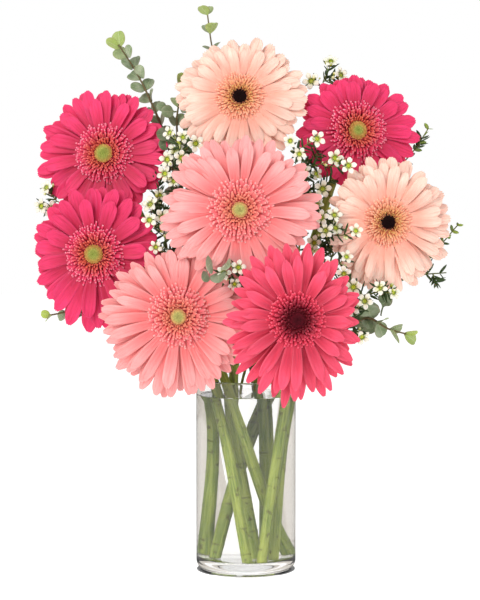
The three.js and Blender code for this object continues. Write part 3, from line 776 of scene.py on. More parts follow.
def frames_along(points):
    """A frame at each point of a line, its Z along the line, turning as little as it can."""
    frames, side = [], None
    for i, point in enumerate(points):
        ahead = (points[min(i + 1, len(points) - 1)] - points[max(i - 1, 0)]).normalized()
        side = ahead.orthogonal() if side is None else side - ahead * side.dot(ahead)
        side.normalize()
        place = Matrix((side, ahead.cross(side), ahead)).transposed().to_4x4()
        place.translation = point
        frames.append(place)
    return frames


def sheet(mesh, columns, rows, place, tone):
    """A sheet of faces laid by place(across, along): across is -1 to 1, along is 0 to 1."""
    spot = mesh.verts.layers.float_vector["spot"]
    made = bmesh.ops.create_grid(mesh, x_segments=columns, y_segments=rows, size=1)
    for corner in made["verts"]:
        across, along = corner.co.x, (corner.co.y + 1) / 2
        corner.co = place(across, along)
        corner[spot] = (across, along, tone)


def join(mesh, part):
    """Adds a part to a mesh, and frees the part."""
    kept = template(part)
    mesh.from_mesh(kept)
    bpy.data.meshes.remove(kept)


def tube(mesh, points, radius, sides, tone, flute=0.0, level=None):
    """Adds a closed round tube along points; radius(share) is its radius at a share of the length.
    With level, its last ring is slid along it until the cut end lies level at that height."""
    steps = len(points) - 1
    part = started()
    bmesh.ops.create_cone(part, cap_ends=True, segments=sides, radius1=1, radius2=1, depth=2)
    if steps > 1:
        uprights = [e for e in part.edges if abs(e.verts[0].co.z - e.verts[1].co.z) > 1]
        bmesh.ops.subdivide_edges(part, edges=uprights, cuts=steps - 1)
    frames = frames_along(points)
    spot = part.verts.layers.float_vector["spot"]
    way = (points[-1] - points[-2]).normalized()
    for corner in part.verts:
        share = (corner.co.z + 1) / 2
        step = round(share * steps)
        turn = math.atan2(corner.co.y, corner.co.x)
        out = radius(share) * (1 + flute * math.cos(turn * sides / 2))
        corner.co = frames[step] @ Vector((math.cos(turn) * out, math.sin(turn) * out, 0))
        if level is not None and step == steps:
            corner.co += way * ((level - corner.co.z) / way.z)
        corner[spot] = (abs(turn) / math.pi, share, tone)
    join(mesh, part)


def turned(mesh, profile, steps):
    """A solid turned about Z, from (radius, height) points that start and end on the axis."""
    corners = [mesh.verts.new((radius, 0, height)) for radius, height in profile]
    edges = [mesh.edges.new(pair) for pair in zip(corners, corners[1:])]
    bmesh.ops.spin(
        mesh, geom=corners + edges, cent=(0, 0, 0), axis=(0, 0, 1), angle=2 * math.pi,
        steps=steps, use_merge=True,
    )
    bmesh.ops.remove_doubles(mesh, verts=mesh.verts, dist=1e-4)
    bmesh.ops.recalc_face_normals(mesh, faces=mesh.faces)


def arc(radius, height, size, start, end, steps):
    """Points of a profile's rounding, by angle in degrees."""
    turns = [math.radians(start + (end - start) * i / steps) for i in range(steps + 1)]
    return [(radius + size * math.cos(t), height + size * math.sin(t)) for t in turns]


def stamp(mesh, shape, place, tone):
    """Adds a copy of a small finished shape in its place."""
    part = bmesh.new()
    part.from_mesh(shape)
    bmesh.ops.transform(part, matrix=place, verts=part.verts)
    spot = part.verts.layers.float_vector["spot"]
    for corner in part.verts:
        corner[spot].z = tone
    join(mesh, part)


def template(mesh):
    """A small finished shape, kept for stamping."""
    kept = bpy.data.meshes.new("template")
    mesh.to_mesh(kept)
    mesh.free()
    return kept


def facing_frame(at, facing, spin=0.0):
    """A frame at a point whose Z looks the given way."""
    place = facing.to_track_quat("Z", "Y").to_matrix().to_4x4() @ Matrix.Rotation(spin, 4, "Z")
    place.translation = at
    return place


def in_scene(mesh, name, finishes):
    """A mesh put in the scene with its finishes."""
    data = bpy.data.meshes.new(name)
    mesh.to_mesh(data)
    mesh.free()
    for finish in finishes:
        data.materials.append(finish)
    made = bpy.data.objects.new(name, data)
    bpy.context.scene.collection.objects.link(made)
    return made


def piece(mesh, name, finishes, replaces=(), wall=0.0, smooth=0):
    """Finishes a mesh as a piece of the bouquet, in metres; a sheet gets a wall and is smoothed."""
    bmesh.ops.scale(mesh, vec=(MM, MM, MM), verts=mesh.verts)
    made = in_scene(mesh, name, finishes)
    made.data.polygons.foreach_set("use_smooth", [True] * len(made.data.polygons))
    if wall:
        shell = made.modifiers.new("Wall", "SOLIDIFY")
        shell.thickness, shell.offset = wall, -1
        shell.material_offset = len(finishes) - 1
    if smooth:
        rounding = made.modifiers.new("Rounding", "SUBSURF")
        rounding.levels = rounding.render_levels = smooth
    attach(made, "root")
    if replaces:
        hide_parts(*replaces)
    return made


# ---------------------------------------------------------------- blooms


def bloom_frame(bloom):
    """The bloom's own frame: X to its right, Y up its face and Z the way it faces."""
    yaw, pitch = math.radians(bloom["yaw"]), math.radians(bloom["pitch"])
    facing = Vector(
        (math.sin(yaw) * math.cos(pitch), -math.cos(yaw) * math.cos(pitch), math.sin(pitch))
    )
    right = Vector((math.cos(yaw), math.sin(yaw), 0))
    place = Matrix((right, facing.cross(right), facing)).transposed().to_4x4()
    place.translation = Vector(bloom["at"])
    return place


def reach_at(reach, turn):
    """How far the rays reach at an angle round the bloom, between its right, up, left and down."""
    right, up, left, down = reach
    across = math.cos(turn) / (right if math.cos(turn) > 0 else left)
    along = math.sin(turn) / (up if math.sin(turn) > 0 else down)
    return 1 / math.hypot(across, along)


def ray(turn, reach, height, lift, kind, groove, draw):
    """One ray: narrow at the root, grooved, with a rounded and faintly toothed tip."""
    outward, side = polar(turn)
    span = reach - ROOT
    width = kind["width"] * (1 + 0.1 * draw())
    lift = math.radians(lift + 3.2 * draw())
    droop = kind["droop"] * (1 + 0.5 * draw())
    roll = math.radians(kind["roll"] * (0.8 + 0.7 * draw()))
    cup = kind["cup"] * (1 + 0.8 * draw())
    bend = 2.4 * draw()
    sag = 1.2
    ripple, phase = kind["ripple"] * draw(), draw()
    teeth = kind["teeth"] * (1 + 0.6 * draw())
    skew = 0.22 * draw()
    tip, end = kind["tip"], kind["end"]

    def place(across, along):
        along = 1 - (1 - along) ** 1.45
        half = width / 2 * (kind["neck"] + (1 - kind["neck"]) * eased(along / 0.72))
        half *= 1 - kind["taper"] * along**4
        closing = max(0, (along - tip) / (1 - tip))
        half *= math.sqrt(1 - (1 - end**2) * closing**2)
        run = span * along - 0.35 * half * across**2 * closing
        run += teeth * math.cos(3 * math.pi * across) * along**20 + skew * half * across * along**6
        x = half * across
        z = groove * math.cos(3 * math.pi * across) * math.sin(math.pi * min(along, 0.95)) ** 0.5
        z += cup * half * across**2 * eased(along / 0.5)
        z += ripple * math.sin(2 * math.pi * (1.3 * along + phase)) * across
        twist = roll * eased(along / 0.7)
        rise = height + run * math.tan(lift) - droop * span * along**2
        point = outward * (ROOT + run)
        point += side * (x * math.cos(twist) - z * math.sin(twist) + bend * along**2)
        point += UP * (rise + x * math.sin(twist) + z * math.cos(twist))
        return point - Vector((0, sag * along**2, 0))

    return place


def floret(turn, base, tip, rise, width, draw):
    """One small strap of the fringe, which leaves the disc steeply and bends outward."""
    outward, side = polar(turn)
    tip += 1.5 * draw()
    rise *= 1 + 0.28 * draw()
    sway = 0.7 * draw()

    def place(across, along):
        along = 1 - (1 - along) ** 1.6
        half = width / 2 * (0.5 + 0.62 * along - 0.62 * along**8)
        point = outward * (base + (tip - base) * (0.55 * along + 0.45 * along**2))
        point += UP * (rise * (1 - (1 - along) ** 1.7) + 0.5 * half * across**2)
        return point + side * (half * across + sway * along**2)

    return place


def draws(seed):
    """A repeatable draw between -1 and 1."""
    source = random.Random(seed)
    return lambda: source.uniform(-1, 1)


def build_rays(name, bloom, settings, finishes):
    """The layers of rays, each ray drawn a little differently."""
    kind = KINDS[bloom["kind"]]
    draw = draws(bloom["seed"])
    mesh = started()
    for layer, (count, share, height, lift) in enumerate(kind["layers"]):
        for i in range(count):
            turn = 2 * math.pi * (i + 0.5 * layer + 0.24 * draw()) / count
            reach = reach_at(bloom["reach"], turn) * share * (1 + 0.07 * draw())
            place = ray(
                turn, reach, height + 0.3 * (i % 2), lift, kind, settings.groove / MM, draw
            )
            sheet(mesh, 6, 9, place, 0.5 + 0.5 * draw())
    bmesh.ops.transform(mesh, matrix=bloom_frame(bloom), verts=mesh.verts)
    piece(
        mesh, name + "_ray_florets", finishes, [name + "_rays"],
        wall=settings.thickness, smooth=1,
    )


def build_fringe(name, bloom, finish):
    """The florets of the fringe, on the hub that carries them and the rays."""
    kind = KINDS[bloom["kind"]]
    draw = draws(bloom["seed"] + 100)
    mesh = started()
    rows, count, first, last, high, width = kind["fringe"]
    for row in range(rows):
        out = row / (rows - 1)
        base = min(12.6, first - 1.4 + 0.5 * (last - first) * out)
        rise = 1.2 + high * math.sin(math.pi * min(1, 0.22 + 0.78 * out)) ** 0.8
        number = round(count * (0.8 + 0.55 * out))
        for i in range(number):
            turn = 2 * math.pi * (i + 0.5 * (row % 2) + 0.3 * draw()) / number
            tip = first + (last - first) * out
            place = floret(turn, base, tip, rise, width * (0.7 + 0.4 * out), draw)
            sheet(mesh, 2, 4, place, (row + 0.4 * (1 + draw())) / rows)
    thicken(mesh, 0.3)
    hub = started()
    turned(hub, HUB, 32)
    # the hub takes the painted root shade, so that it reads as shade through the gaps between the
    # florets
    mark(hub, lambda at: (0, 0, 0.6))
    join(mesh, hub)
    bmesh.ops.transform(mesh, matrix=bloom_frame(bloom), verts=mesh.verts)
    piece(mesh, name + "_fringe", [finish], [name + "_rays"])


def build_eye(name, bloom, finish, bud, spike):
    """Packed buds on a low dome; the dark eyes have a crown of spikes."""
    kind = KINDS[bloom["kind"]]
    draw = draws(bloom["seed"] + 200)
    radius = kind["eye"]
    mesh = started()
    profile = [(0, -1.5), (radius * 0.9, -1.5), (radius * 0.98, 0.4), (radius * 0.92, 1.6)]
    dome = [(radius * share, dome_height(share) - 0.5) for share in (0.75, 0.5, 0.25, 0)]
    turned(mesh, profile + dome, 28)
    for i in range(EYE_BUDS):
        share = math.sqrt((i + 0.5) / EYE_BUDS)
        outward, _ = polar(i * GOLDEN_TURN)
        at = outward * (radius * share) + UP * (dome_height(share) - 0.2)
        way = (UP + outward * (0.9 * share**2)).normalized()
        size = (0.42 + 0.14 * share) * (1 + 0.12 * draw())
        place = facing_frame(at, way, draw()) @ Matrix.Diagonal((size, size, size * 1.9, 1))
        stamp(mesh, bud, place, 0.5 + 0.5 * draw())
    for i in range(kind["spikes"]):
        outward, _ = polar(2 * math.pi * (i + 0.3 * draw()) / kind["spikes"])
        way = (outward * 1.4 + UP * (0.45 + 0.4 * draw())).normalized()
        place = facing_frame(outward * (radius * 0.8) + UP * 2, way)
        stamp(mesh, spike, place @ Matrix.Diagonal((1, 1, 1 + 0.3 * draw(), 1)), 0.5 + 0.5 * draw())
    green = bloom.get("green", 1)
    spot = mesh.verts.layers.float_vector["spot"]
    for corner in mesh.verts:
        corner[spot].y = min(1, math.hypot(corner.co.x, corner.co.y) / radius / green)
    bmesh.ops.transform(mesh, matrix=bloom_frame(bloom), verts=mesh.verts)
    piece(mesh, name + "_florets", [finish], [name + "_eye"])


def dome_height(share):
    """The eye's dome: it climbs from its rim and dips in the very middle."""
    return 1.9 + 2.1 * math.cos(share * math.pi / 2) ** 0.8 - 0.6 * (1 - eased(share / 0.35))


def stem_line(bloom):
    """The line of a gerbera's stem, from its bloom to its cut end."""
    place = bloom_frame(bloom)
    start = place @ Vector((0, 0, -STALK_SINK))
    neck = place @ Vector((0, 0, -NECK_DEPTH))
    neck.z -= NECK_DROP
    foot = (*bloom["foot"], CUT_Z - FOOT_DROP)
    points = [start, neck, bloom["way"], (*bloom["mouth"], RIM_Z), foot]
    return cut_level(smooth_line(points, 150), CUT_Z)


def cut_level(line, height):
    """The part of a line above a height."""
    kept = [p for p in line if p.z > height + 0.5]
    last, following = kept[-1], line[len(kept)]
    kept.append(last.lerp(following, (last.z - height) / (last.z - following.z)))
    return kept


def build_stem(name, bloom, settings, finish):
    """A fluted stem, and behind the bloom a cup of bracts in overlapping rows."""
    draw = draws(bloom["seed"] + 300)
    radius = settings.stem / MM
    mesh = started()
    turned(mesh, BRACT_CUP, 28)
    mark(mesh, lambda at: (abs(math.atan2(at.y, at.x)) / math.pi, 0.1, 0.4))
    bracts = started()
    for row, (count, base, span, out) in enumerate(BRACT_ROWS):
        low = -15.2 + 3.4 * row
        for i in range(count):
            turn = 2 * math.pi * (i + 0.5 * row + 0.1 * draw()) / count
            place = bract(turn, base, low, span * (1 + 0.1 * draw()), out + 5 * draw())
            sheet(bracts, 2, 4, place, 0.5 + 0.4 * draw())
    thicken(bracts, 0.5)
    join(mesh, bracts)
    bmesh.ops.transform(mesh, matrix=bloom_frame(bloom), verts=mesh.verts)
    line = stem_line(bloom)
    tone = 0.5 + 0.4 * draw()

    def thick(share):
        scar = (SCARS * share + SCAR_SHIFT * tone) % 1 - 0.5
        return radius * (0.88 + 0.16 * share + 0.05 * math.exp(-((scar / 0.05) ** 2)))

    tube(mesh, line, thick, 16, tone, flute=0.025, level=CUT_Z)
    piece(mesh, name + "_stalk", [finish], [name + "_stem"])


def bract(turn, base, low, span, out):
    """A pointed green scale that hugs the cup and stands off at its tip."""
    outward, side = polar(turn)
    lean = math.radians(out)

    def place(across, along):
        half = 1.7 * (1 - 0.12 * along - 0.78 * along**3)
        curve = math.sin(along * math.pi * 0.5)
        point = outward * (base + 0.5 + span * (0.62 * curve + math.sin(lean) * along**2 * 0.4))
        point += UP * (low + span * (0.3 * along + 0.62 * along**2))
        return point - side * (half * across) - outward * (0.5 * across**2)

    return place


# ---------------------------------------------------------------- fillers


def wood_of(spray, draw):
    """The lines of a spray's stem, branches and twigs, with their radii, and each flower's root."""
    main = cut_level(smooth_line(spray["stem"], 60), spray["cut"])
    lines = [(main, 0.7, 1.4)]
    wood = [p for p in main if p.z > RIM_Z + 20]
    for fork, path in spray["branches"]:
        root = main[round(fork * 60)]
        branch = smooth_line([root, *path], 24)
        lines.append((branch, 0.95, 0.45))
        wood += branch[4:]
    shoots = []
    for tip in (Vector(p) for p in spray["shoots"]):
        root = min(wood, key=lambda p: (p - tip).length + 2 * max(0, p.z - tip.z + 8))
        bow = root.lerp(tip, 0.5) + Vector((draw(), draw(), -0.08 * (tip - root).length))
        shoots.append(smooth_line([root, bow, tip], max(4, round((tip - root).length / 3.2))))
        lines.append((shoots[-1], 0.7, 0.4))
    roots = []
    for place in (Vector(p) for p in spray["flowers"]):
        root = min(wood, key=lambda p: (p - place).length + 2 * max(0, p.z - place.z + 4))
        way = (place - root).normalized()
        facing = (way * 0.7 + Vector((0.25 * draw(), -1, 0.3 * draw()))).normalized()
        back = place - facing * 4
        bow = root.lerp(back, 0.55) + Vector((draw(), draw(), -0.06 * (back - root).length))
        twig = smooth_line([root, bow, back], 8)
        lines.append((twig, 0.5, 0.38))
        wood += twig[3:6]
        roots.append((place, facing, twig))
    return lines, shoots, roots


def build_wood(name, spray, lines, shoots, needle, finishes, draw):
    """Twigs with pairs of needles, which crowd on the shoots that bear no flowers."""
    mesh = started()
    needles = started()
    for points, first, last in lines:
        level = spray["cut"] if points is lines[0][0] else None
        tube(
            mesh, points, lambda s, a=first, b=last: a + (b - a) * s, 6, 0.5 + 0.4 * draw(),
            level=level,
        )
    for index, (points, _, _) in enumerate(lines):
        if index == spray.get("bare"):
            continue
        crowded = any(points is shoot for shoot in shoots)
        frames = frames_along(points)
        if index == 0:
            frames = [f for f in frames if f.translation.z > RIM_Z + 24]
        young = index == spray.get("young")
        for i, place in enumerate(frames[1 : None if crowded or young else -1]):
            fresh = 2 * max(0, i / len(frames) - 0.5) if young else 0
            if i % 2 and not crowded and not fresh:
                continue
            ahead = place.to_3x3() @ UP * (-1 if index == 0 else 1)
            for half in range(3 if crowded else 2):
                turn = i * 1.9 + half * math.pi * (2 / 3 if crowded else 1) + 0.4 * draw()
                out = place.to_3x3() @ Vector((math.cos(turn), math.sin(turn), 0))
                way = (out + ahead * (0.7 + 0.3 * draw())).normalized()
                size = 0.9 + 0.2 * draw() - 0.4 * fresh
                turned_way = facing_frame(place.translation, way, draw() * math.pi)
                turned_way @= Matrix.Diagonal((size * (1 + 1.4 * fresh), size, size, 1))
                stamp(needles, needle, turned_way, 0.5 + 0.5 * draw() + 1.4 * fresh)
    piece(mesh, name + "_wood", finishes[:1], [name])
    piece(needles, name + "_needles", finishes[1:], [name])


def needle_template(span):
    """A flat, faintly curved needle that grows along Z."""
    mesh = started()
    points = [Vector((0, 0.09 * span * t**2, span * t)) for t in (0, 0.3, 0.7, 1)]
    tube(mesh, points, lambda s: 1.3 * math.sin(math.pi * (0.14 + 0.8 * s)) ** 0.8, 6, 0.5)
    bmesh.ops.scale(mesh, vec=(1, 0.5, 1), verts=mesh.verts)
    return template(mesh)


def wax_templates(radius):
    """The cup, the five petals, and a bud of a waxflower, with Z the way it opens."""
    cup = started()
    turned(cup, WAX_CUP, 10)
    mark(cup, lambda at: (1 - math.hypot(at.x, at.y) / 5 if at.z > -0.6 else 0, 0, 0))
    for i in range(10):
        outward, _ = polar(2 * math.pi * (i + 0.5) / 10)
        stamen = started()
        bmesh.ops.create_cone(
            stamen, cap_ends=True, segments=4, radius1=0.3, radius2=0.12, depth=1.1
        )
        bmesh.ops.translate(stamen, vec=outward * 2.05 + UP * 0.7, verts=stamen.verts)
        mark(stamen, lambda at: (0.2, 1, 0))
        join(cup, stamen)
    petals = started()
    for i in range(5):
        sheet(petals, 4, 4, wax_petal(2 * math.pi * i / 5, radius), 0)
    thicken(petals, 0.35)
    bud = started()
    bmesh.ops.create_icosphere(bud, subdivisions=2, radius=1)
    bmesh.ops.scale(bud, vec=(1.5, 1.5, 2.1), verts=bud.verts)
    mark(bud, lambda at: (0.1, eased(at.z / 2), 0))
    return template(cup), template(petals), template(bud)


def wax_petal(turn, radius):
    """A round, cupped petal."""
    outward, side = polar(turn)
    span = radius - 1.9

    def place(across, along):
        half = 2.05 * max(0.4, math.sin(math.pi * (0.12 + 0.74 * along)) ** 0.8)
        run = span * (along - 0.13 * across**2 * along**2)
        rise = 0.1 + 0.42 * run - 0.05 * run**2 + 0.16 * (half * across) ** 2
        return outward * (1.9 + run) + side * (half * across) + UP * rise

    return place


def build_wax_flowers(name, roots, templates, finishes, draw):
    """The open flowers of a spray, each with two buds on its twig."""
    cup, petals, bud = templates
    cups, blooms = started(), started()
    for at, facing, twig in roots:
        size = 0.96 + 0.14 * draw()
        place = facing_frame(at, facing, math.pi * draw()) @ Matrix.Scale(size, 4)
        stamp(cups, cup, place, 0.5 + 0.5 * draw())
        stamp(blooms, petals, place, 0.5 + 0.5 * draw())
        for _ in range(2):
            way = (facing + Vector((draw(), draw(), draw() + 0.3)) * 0.9).normalized()
            small = 0.7 + 0.3 * draw()
            spread = twig[5] + way * 5.5
            tube(cups, [twig[5], twig[5].lerp(spread, 0.5), spread], lambda s: 0.32, 5, 0.3)
            bud_place = facing_frame(spread + way * 1.6, way) @ Matrix.Scale(small, 4)
            stamp(cups, bud, bud_place, 0.5 + 0.5 * draw())
    piece(cups, name + "_cups", finishes[:1], [name])
    piece(blooms, name + "_petals", finishes[1:], [name])


def leaf(root, reach, normal, radius, stalk, draw):
    """A round eucalyptus leaf on its stalk, dished and faintly folded along its midrib."""
    side = reach.cross(normal)
    dish = 0.16 + 0.12 * draw()
    wide = 1.02 + 0.06 * draw()
    bare = stalk / (stalk + 2 * radius)  # the share of the sheet that is the stalk

    def place(across, along):
        turn = math.pi * max(0, (along - bare) / (1 - bare))
        half = radius * wide * max(0.09 if along < bare else 0.3, math.sin(turn) ** 0.75)
        run = stalk * min(1, along / bare) + radius * (1 - math.cos(turn))
        x = half * across
        round_off = (run - stalk - radius) / radius
        lift = dish * radius * ((across * half / radius) ** 2 - 0.7 * round_off**2)
        return root + reach * run + side * x + normal * (lift + 0.05 * radius * abs(across))

    return place


def build_sprig(name, sprig, finishes):
    """A eucalyptus stem with opposite pairs of leaves, each pair turned a quarter from the last."""
    draw = draws(sprig["seed"])
    steps = 80
    line = cut_level(smooth_line(sprig["path"], steps), sprig["cut"])
    mesh = started()
    radius = sprig["radius"]
    tube(
        mesh, line, lambda s: radius * (0.5 + 0.5 * eased(s * 3)), 8, 0.5, level=sprig["cut"]
    )
    leaves = started()
    small, large = sprig["leaf"]
    pairs = sprig["pairs"]
    for i in range(pairs):
        at = (0.006 + sprig["leafy"] * i / pairs) * steps
        root = line[int(at)].lerp(line[int(at) + 1], at % 1)
        along = (line[int(at)] - line[int(at) + 1]).normalized()
        out = along.cross(Vector((0, 1, 0))).normalized()
        out.rotate(Matrix.Rotation(math.pi * (0.72 if i % 2 else 0.22) + 0.25 * draw(), 3, along))
        size = small + (large - small) * i / max(1, pairs - 1)
        for way in (out, -out):
            lift = math.radians(38 + 12 * draw() + 16 * max(0, 1 - i / 2))
            reach = way * math.cos(lift) + along * math.sin(lift)
            front = (0.4 * draw(), sprig["turn"] * (1 + 0.6 * draw()), 0.4 * draw())
            normal = along * math.cos(lift) - way * math.sin(lift) - Vector(front)
            normal = (normal - reach * normal.dot(reach)).normalized()
            tone = 0.5 + 0.5 * draw() + max(0, 1.2 - 0.4 * i)
            place = leaf(root, reach, normal, size * (1 + 0.2 * draw()), 1.2, draw)
            sheet(leaves, 6, 8, place, tone)
    for x, y, z, size in sprig["singles"]:
        middle = Vector((x, y, z))
        root = min(line, key=lambda p: (p - middle).length)
        gap = (middle - root).length
        reach = (middle - root).normalized()
        normal = Vector((0.3 * draw(), -1, 0.3 * draw()))
        normal = (normal - reach * normal.dot(reach)).normalized()
        place = leaf(root, reach, normal, size, max(1, gap - size), draw)
        sheet(leaves, 6, 12, place, 0.5 + 0.5 * draw())
    piece(mesh, name + "_stem", finishes[:1], [name])
    piece(leaves, name + "_leaves", finishes[1:], [name], wall=0.4 * MM, smooth=1)


# ---------------------------------------------------------------- operators


class BOUQUET_OT_vase(bpy.types.Operator):
    """Turn the glass cylinder vase, with its thick base, rounded heel and fire-polished rim"""

    bl_idname = "bouquet.vase"
    bl_label = "Vase"

    def execute(self, context):
        s = context.scene.bouquet_vase
        radius, height, wall, base, heel = (
            getattr(s, key) / MM for key in ("radius", "height", "wall", "base", "heel")
        )
        inner, lip, corner = radius - wall, wall / 2, WELL_CORNER
        foot = FOOT + [(radius - heel - 0.6, 0)]
        outside = arc(radius - heel, heel, heel, -90, 0, 10) + [(radius, heel + HELD)]
        rim = arc(radius - lip, height - lip, lip, 0, 180, 10)
        rim = [(radius, rim[0][1] - HELD)] + rim + [(inner, rim[-1][1] - HELD)]
        well = [(inner, base + corner + HELD)]
        well += arc(inner - corner, base + corner, corner, 0, -90, 6)
        well += [(inner - corner - HELD, base), (0, base)]
        mesh = started()
        turned(mesh, foot + outside + rim + well, s.steps)
        finish = clear_finish("vase glass", s.glass, 1.5, 26.0, 0.2)
        piece(mesh, "vase_glass", [finish], ["vase"]).visible_shadow = False
        return {"FINISHED"}


class BOUQUET_OT_water(bpy.types.Operator):
    """Fill the vase with water, which wets the glass and climbs a little at the edge"""

    bl_idname = "bouquet.water"
    bl_label = "Water"

    def execute(self, context):
        s = context.scene.bouquet_vase
        wet = 0.15  # the water's skin lies this far inside the glass, so that no air is between
        inner = (s.radius - s.wall) / MM
        base, level, corner = s.base / MM, s.water_level / MM, WELL_CORNER
        floor = [(0, base - wet), (inner - corner - HELD, base - wet)]
        side = arc(inner - corner, base + corner, corner + wet, -90, 0, 6)
        side += [(inner + wet, z) for z in (base + corner + HELD, level + 0.4, level + 0.8)]
        skin = [(inner - gap, level + rise) for gap, rise in MENISCUS] + [(0, level)]
        mesh = started()
        turned(mesh, floor + side + skin, s.steps)
        finish = clear_finish("vase water", s.water, 1.33, 18.0, 0.1)
        piece(mesh, "vase_water", [finish], ["water"]).visible_shadow = False
        return {"FINISHED"}


class BOUQUET_OT_rays(bpy.types.Operator):
    """Grow the long rays of all the gerberas"""

    bl_idname = "bouquet.rays"
    bl_label = "Rays"

    def execute(self, context):
        s = context.scene.bouquet_gerberas
        finishes = {
            kind: [ray_finish(kind, getattr(s, kind), under) for under in (False, True)]
            for kind in KINDS
        }
        for name, bloom in GERBERAS.items():
            build_rays(name, bloom, s, finishes[bloom["kind"]])
        return {"FINISHED"}


class BOUQUET_OT_fringes(bpy.types.Operator):
    """Grow the fringes of small florets between the rays and the eyes"""

    bl_idname = "bouquet.fringes"
    bl_label = "Fringes"

    def execute(self, context):
        finishes = {kind: fringe_finish(kind) for kind in KINDS}
        for name, bloom in GERBERAS.items():
            build_fringe(name, bloom, finishes[bloom["kind"]])
        return {"FINISHED"}


class BOUQUET_OT_eyes(bpy.types.Operator):
    """Pack the eyes of the gerberas with buds"""

    bl_idname = "bouquet.eyes"
    bl_label = "Eyes"

    def execute(self, context):
        finishes = {kind: eye_finish(kind) for kind in KINDS}
        bud, spike, tall = started(), started(), 3.4
        bmesh.ops.create_icosphere(bud, subdivisions=1, radius=1)
        mark(bud, lambda at: ((at.z + 1) / 2, 0, 0))
        bmesh.ops.create_cone(
            spike, cap_ends=True, segments=5, radius1=0.8, radius2=0.15, depth=tall
        )
        bmesh.ops.translate(spike, vec=UP * tall / 2, verts=spike.verts)
        mark(spike, lambda at: (at.z / tall, 1, 0))
        bud, spike = template(bud), template(spike)
        for name, bloom in GERBERAS.items():
            build_eye(name, bloom, finishes[bloom["kind"]], bud, spike)
        return {"FINISHED"}


class BOUQUET_OT_stems(bpy.types.Operator):
    """Grow the gerberas' stems and the cups of bracts behind the blooms"""

    bl_idname = "bouquet.stems"
    bl_label = "Stems"

    def execute(self, context):
        s = context.scene.bouquet_gerberas
        finish = stem_finish(s.green)
        for name, bloom in GERBERAS.items():
            build_stem(name, bloom, s, finish)
        return {"FINISHED"}


class BOUQUET_OT_waxflowers(bpy.types.Operator):
    """Grow the sprays of waxflower with their needles and buds"""

    bl_idname = "bouquet.waxflowers"
    bl_label = "Waxflowers"

    def execute(self, context):
        s = context.scene.bouquet_fillers
        woody = [
            twig_finish("waxflower wood", s.wood, 0.6),
            twig_finish("waxflower needle", s.needles, 0.42),
        ]
        flowery = [wax_cup_finish(s.cup), wax_petal_finish(s.petal)]
        templates = wax_templates(s.flower / MM)
        needle = needle_template(s.needle / MM)
        for name, spray in WAXFLOWERS.items():
            draw = draws(spray["seed"])
            lines, shoots, roots = wood_of(spray, draw)
            build_wood(name, spray, lines, shoots, needle, woody, draw)
            build_wax_flowers(name, roots, templates, flowery, draw)
        return {"FINISHED"}


class BOUQUET_OT_eucalyptus(bpy.types.Operator):
    """Grow the eucalyptus sprigs"""

    bl_idname = "bouquet.eucalyptus"
    bl_label = "Eucalyptus"

    def execute(self, context):
        s = context.scene.bouquet_fillers
        finishes = [twig_finish("eucalyptus stem", s.leaf_stem, 0.55), leaf_finish(s.leaf)]
        for name, sprig in EUCALYPTUS.items():
            build_sprig(name, sprig, finishes)
        return {"FINISHED"}


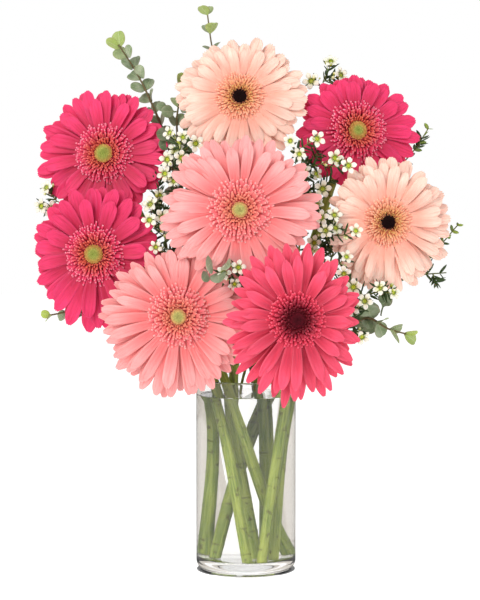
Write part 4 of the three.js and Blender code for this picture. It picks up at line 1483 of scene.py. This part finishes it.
class BOUQUET_OT_studio(bpy.types.Operator):
    """Set the pale table, the soft light and the camera"""

    bl_idname = "bouquet.studio"
    bl_label = "Studio"

    def execute(self, context):
        s = context.scene.bouquet_studio
        scene = context.scene
        scene.view_settings.view_transform = "Standard"
        mesh = bmesh.new()
        bmesh.ops.create_circle(mesh, cap_ends=True, segments=96, radius=4)
        bmesh.ops.translate(mesh, vec=(0, 0, -0.0003), verts=mesh.verts)
        table = in_scene(mesh, "table", [floor_finish(s.floor)])
        table.visible_glossy = False
        self.hang_cards()
        self.set_dome(scene, s.dome, s.mirrored)
        for name, power, (at, size, shade) in (("key", s.key, KEY), ("fill", s.fill, FILL)):
            light = bpy.data.lights.new(name, "AREA")
            light.size, light.energy, light.color = size, power, shade
            self.aimed(name, light, at, LAMP_AIM)
        camera = self.aimed("camera", bpy.data.cameras.new("camera"), CAMERA_AT, CAMERA_AIM)
        camera.data.lens, camera.data.sensor_width = s.lens, 36
        camera.data.clip_start, camera.data.clip_end = 0.05, 30
        scene.camera = camera
        return {"FINISHED"}

    def aimed(self, name, data, at, target):
        """A camera or lamp put in the scene, looking at a point."""
        made = bpy.data.objects.new(name, data)
        made.location = at
        aim = Vector(target) - made.location
        made.rotation_euler = aim.to_track_quat("-Z", "Y").to_euler()
        bpy.context.scene.collection.objects.link(made)
        return made

    def hang_cards(self):
        """Beige cards close behind the vase at both sides, seen only through the glass."""
        shade = Finish(
            "card", Base_Color=(0, 0, 0, 1), Emission_Color=CARD_SHADE, Emission_Strength=1.0
        ).material
        x, y, z = CARD_AT
        for side in (-1, 1):
            mesh = bmesh.new()
            bmesh.ops.create_grid(mesh, x_segments=1, y_segments=1, size=CARD_SIZE)
            lean = Matrix.Rotation(side * math.radians(CARD_LEAN), 4, "Y")
            place = Matrix.Translation((side * x, y, z)) @ lean
            bmesh.ops.transform(mesh, matrix=place, verts=mesh.verts)
            card = in_scene(mesh, "card", [shade])
            card.visible_camera = card.visible_diffuse = False
            card.visible_shadow = card.visible_glossy = False

    def set_dome(self, scene, strength, mirrored):
        """White all round, dimmer as light on matt surfaces and dimmer still where mirrored."""
        world = bpy.data.worlds.new("dome")
        world.use_nodes = True
        scene.world = world
        nodes, links = world.node_tree.nodes, world.node_tree.links
        sky = nodes["Background"]
        sky.inputs["Color"].default_value = (1, 1, 1, 1)
        path = nodes.new("ShaderNodeLightPath")
        clear, matt = nodes.new("ShaderNodeMapRange"), nodes.new("ShaderNodeMix")
        clear.inputs["To Min"].default_value = 1.0
        clear.inputs["To Max"].default_value = mirrored
        matt.inputs["B"].default_value = strength
        links.new(path.outputs["Is Reflection Ray"], clear.inputs["Value"])
        links.new(path.outputs["Is Diffuse Ray"], matt.inputs["Factor"])
        links.new(clear.outputs[0], matt.inputs["A"])
        links.new(matt.outputs[0], sky.inputs["Strength"])


class BOUQUET_PT_panel(bpy.types.Panel):
    """The bouquet's settings and the steps that build it"""

    bl_idname = "BOUQUET_PT_panel"
    bl_label = "Bouquet"
    bl_space_type = "VIEW_3D"
    bl_region_type = "UI"
    bl_category = "Bouquet"

    def draw(self, context):
        for group in SETTINGS:
            box = self.layout.box()
            for key in SETTINGS[group].__annotations__:
                box.prop(getattr(context.scene, group), key)
        for operator in OPERATORS:
            self.layout.operator(operator.bl_idname)


SETTINGS = {
    "bouquet_vase": VaseSettings,
    "bouquet_gerberas": GerberaSettings,
    "bouquet_fillers": FillerSettings,
    "bouquet_studio": StudioSettings,
}
OPERATORS = (
    BOUQUET_OT_vase, BOUQUET_OT_water, BOUQUET_OT_rays, BOUQUET_OT_fringes, BOUQUET_OT_eyes,
    BOUQUET_OT_stems, BOUQUET_OT_waxflowers, BOUQUET_OT_eucalyptus, BOUQUET_OT_studio,
)


def register():
    for made in (*SETTINGS.values(), *OPERATORS, BOUQUET_PT_panel):
        bpy.utils.register_class(made)
    for group, made in SETTINGS.items():
        setattr(bpy.types.Scene, group, PointerProperty(type=made))


def unregister():
    for group in SETTINGS:
        delattr(bpy.types.Scene, group)
    for made in reversed((*SETTINGS.values(), *OPERATORS, BOUQUET_PT_panel)):
        bpy.utils.unregister_class(made)


def main():
    """Builds the bouquet step by step."""
    register()
    for operator in OPERATORS:
        getattr(bpy.ops.bouquet, operator.bl_idname.split(".")[1])()
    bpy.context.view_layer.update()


if __name__ == "__main__":
    main()
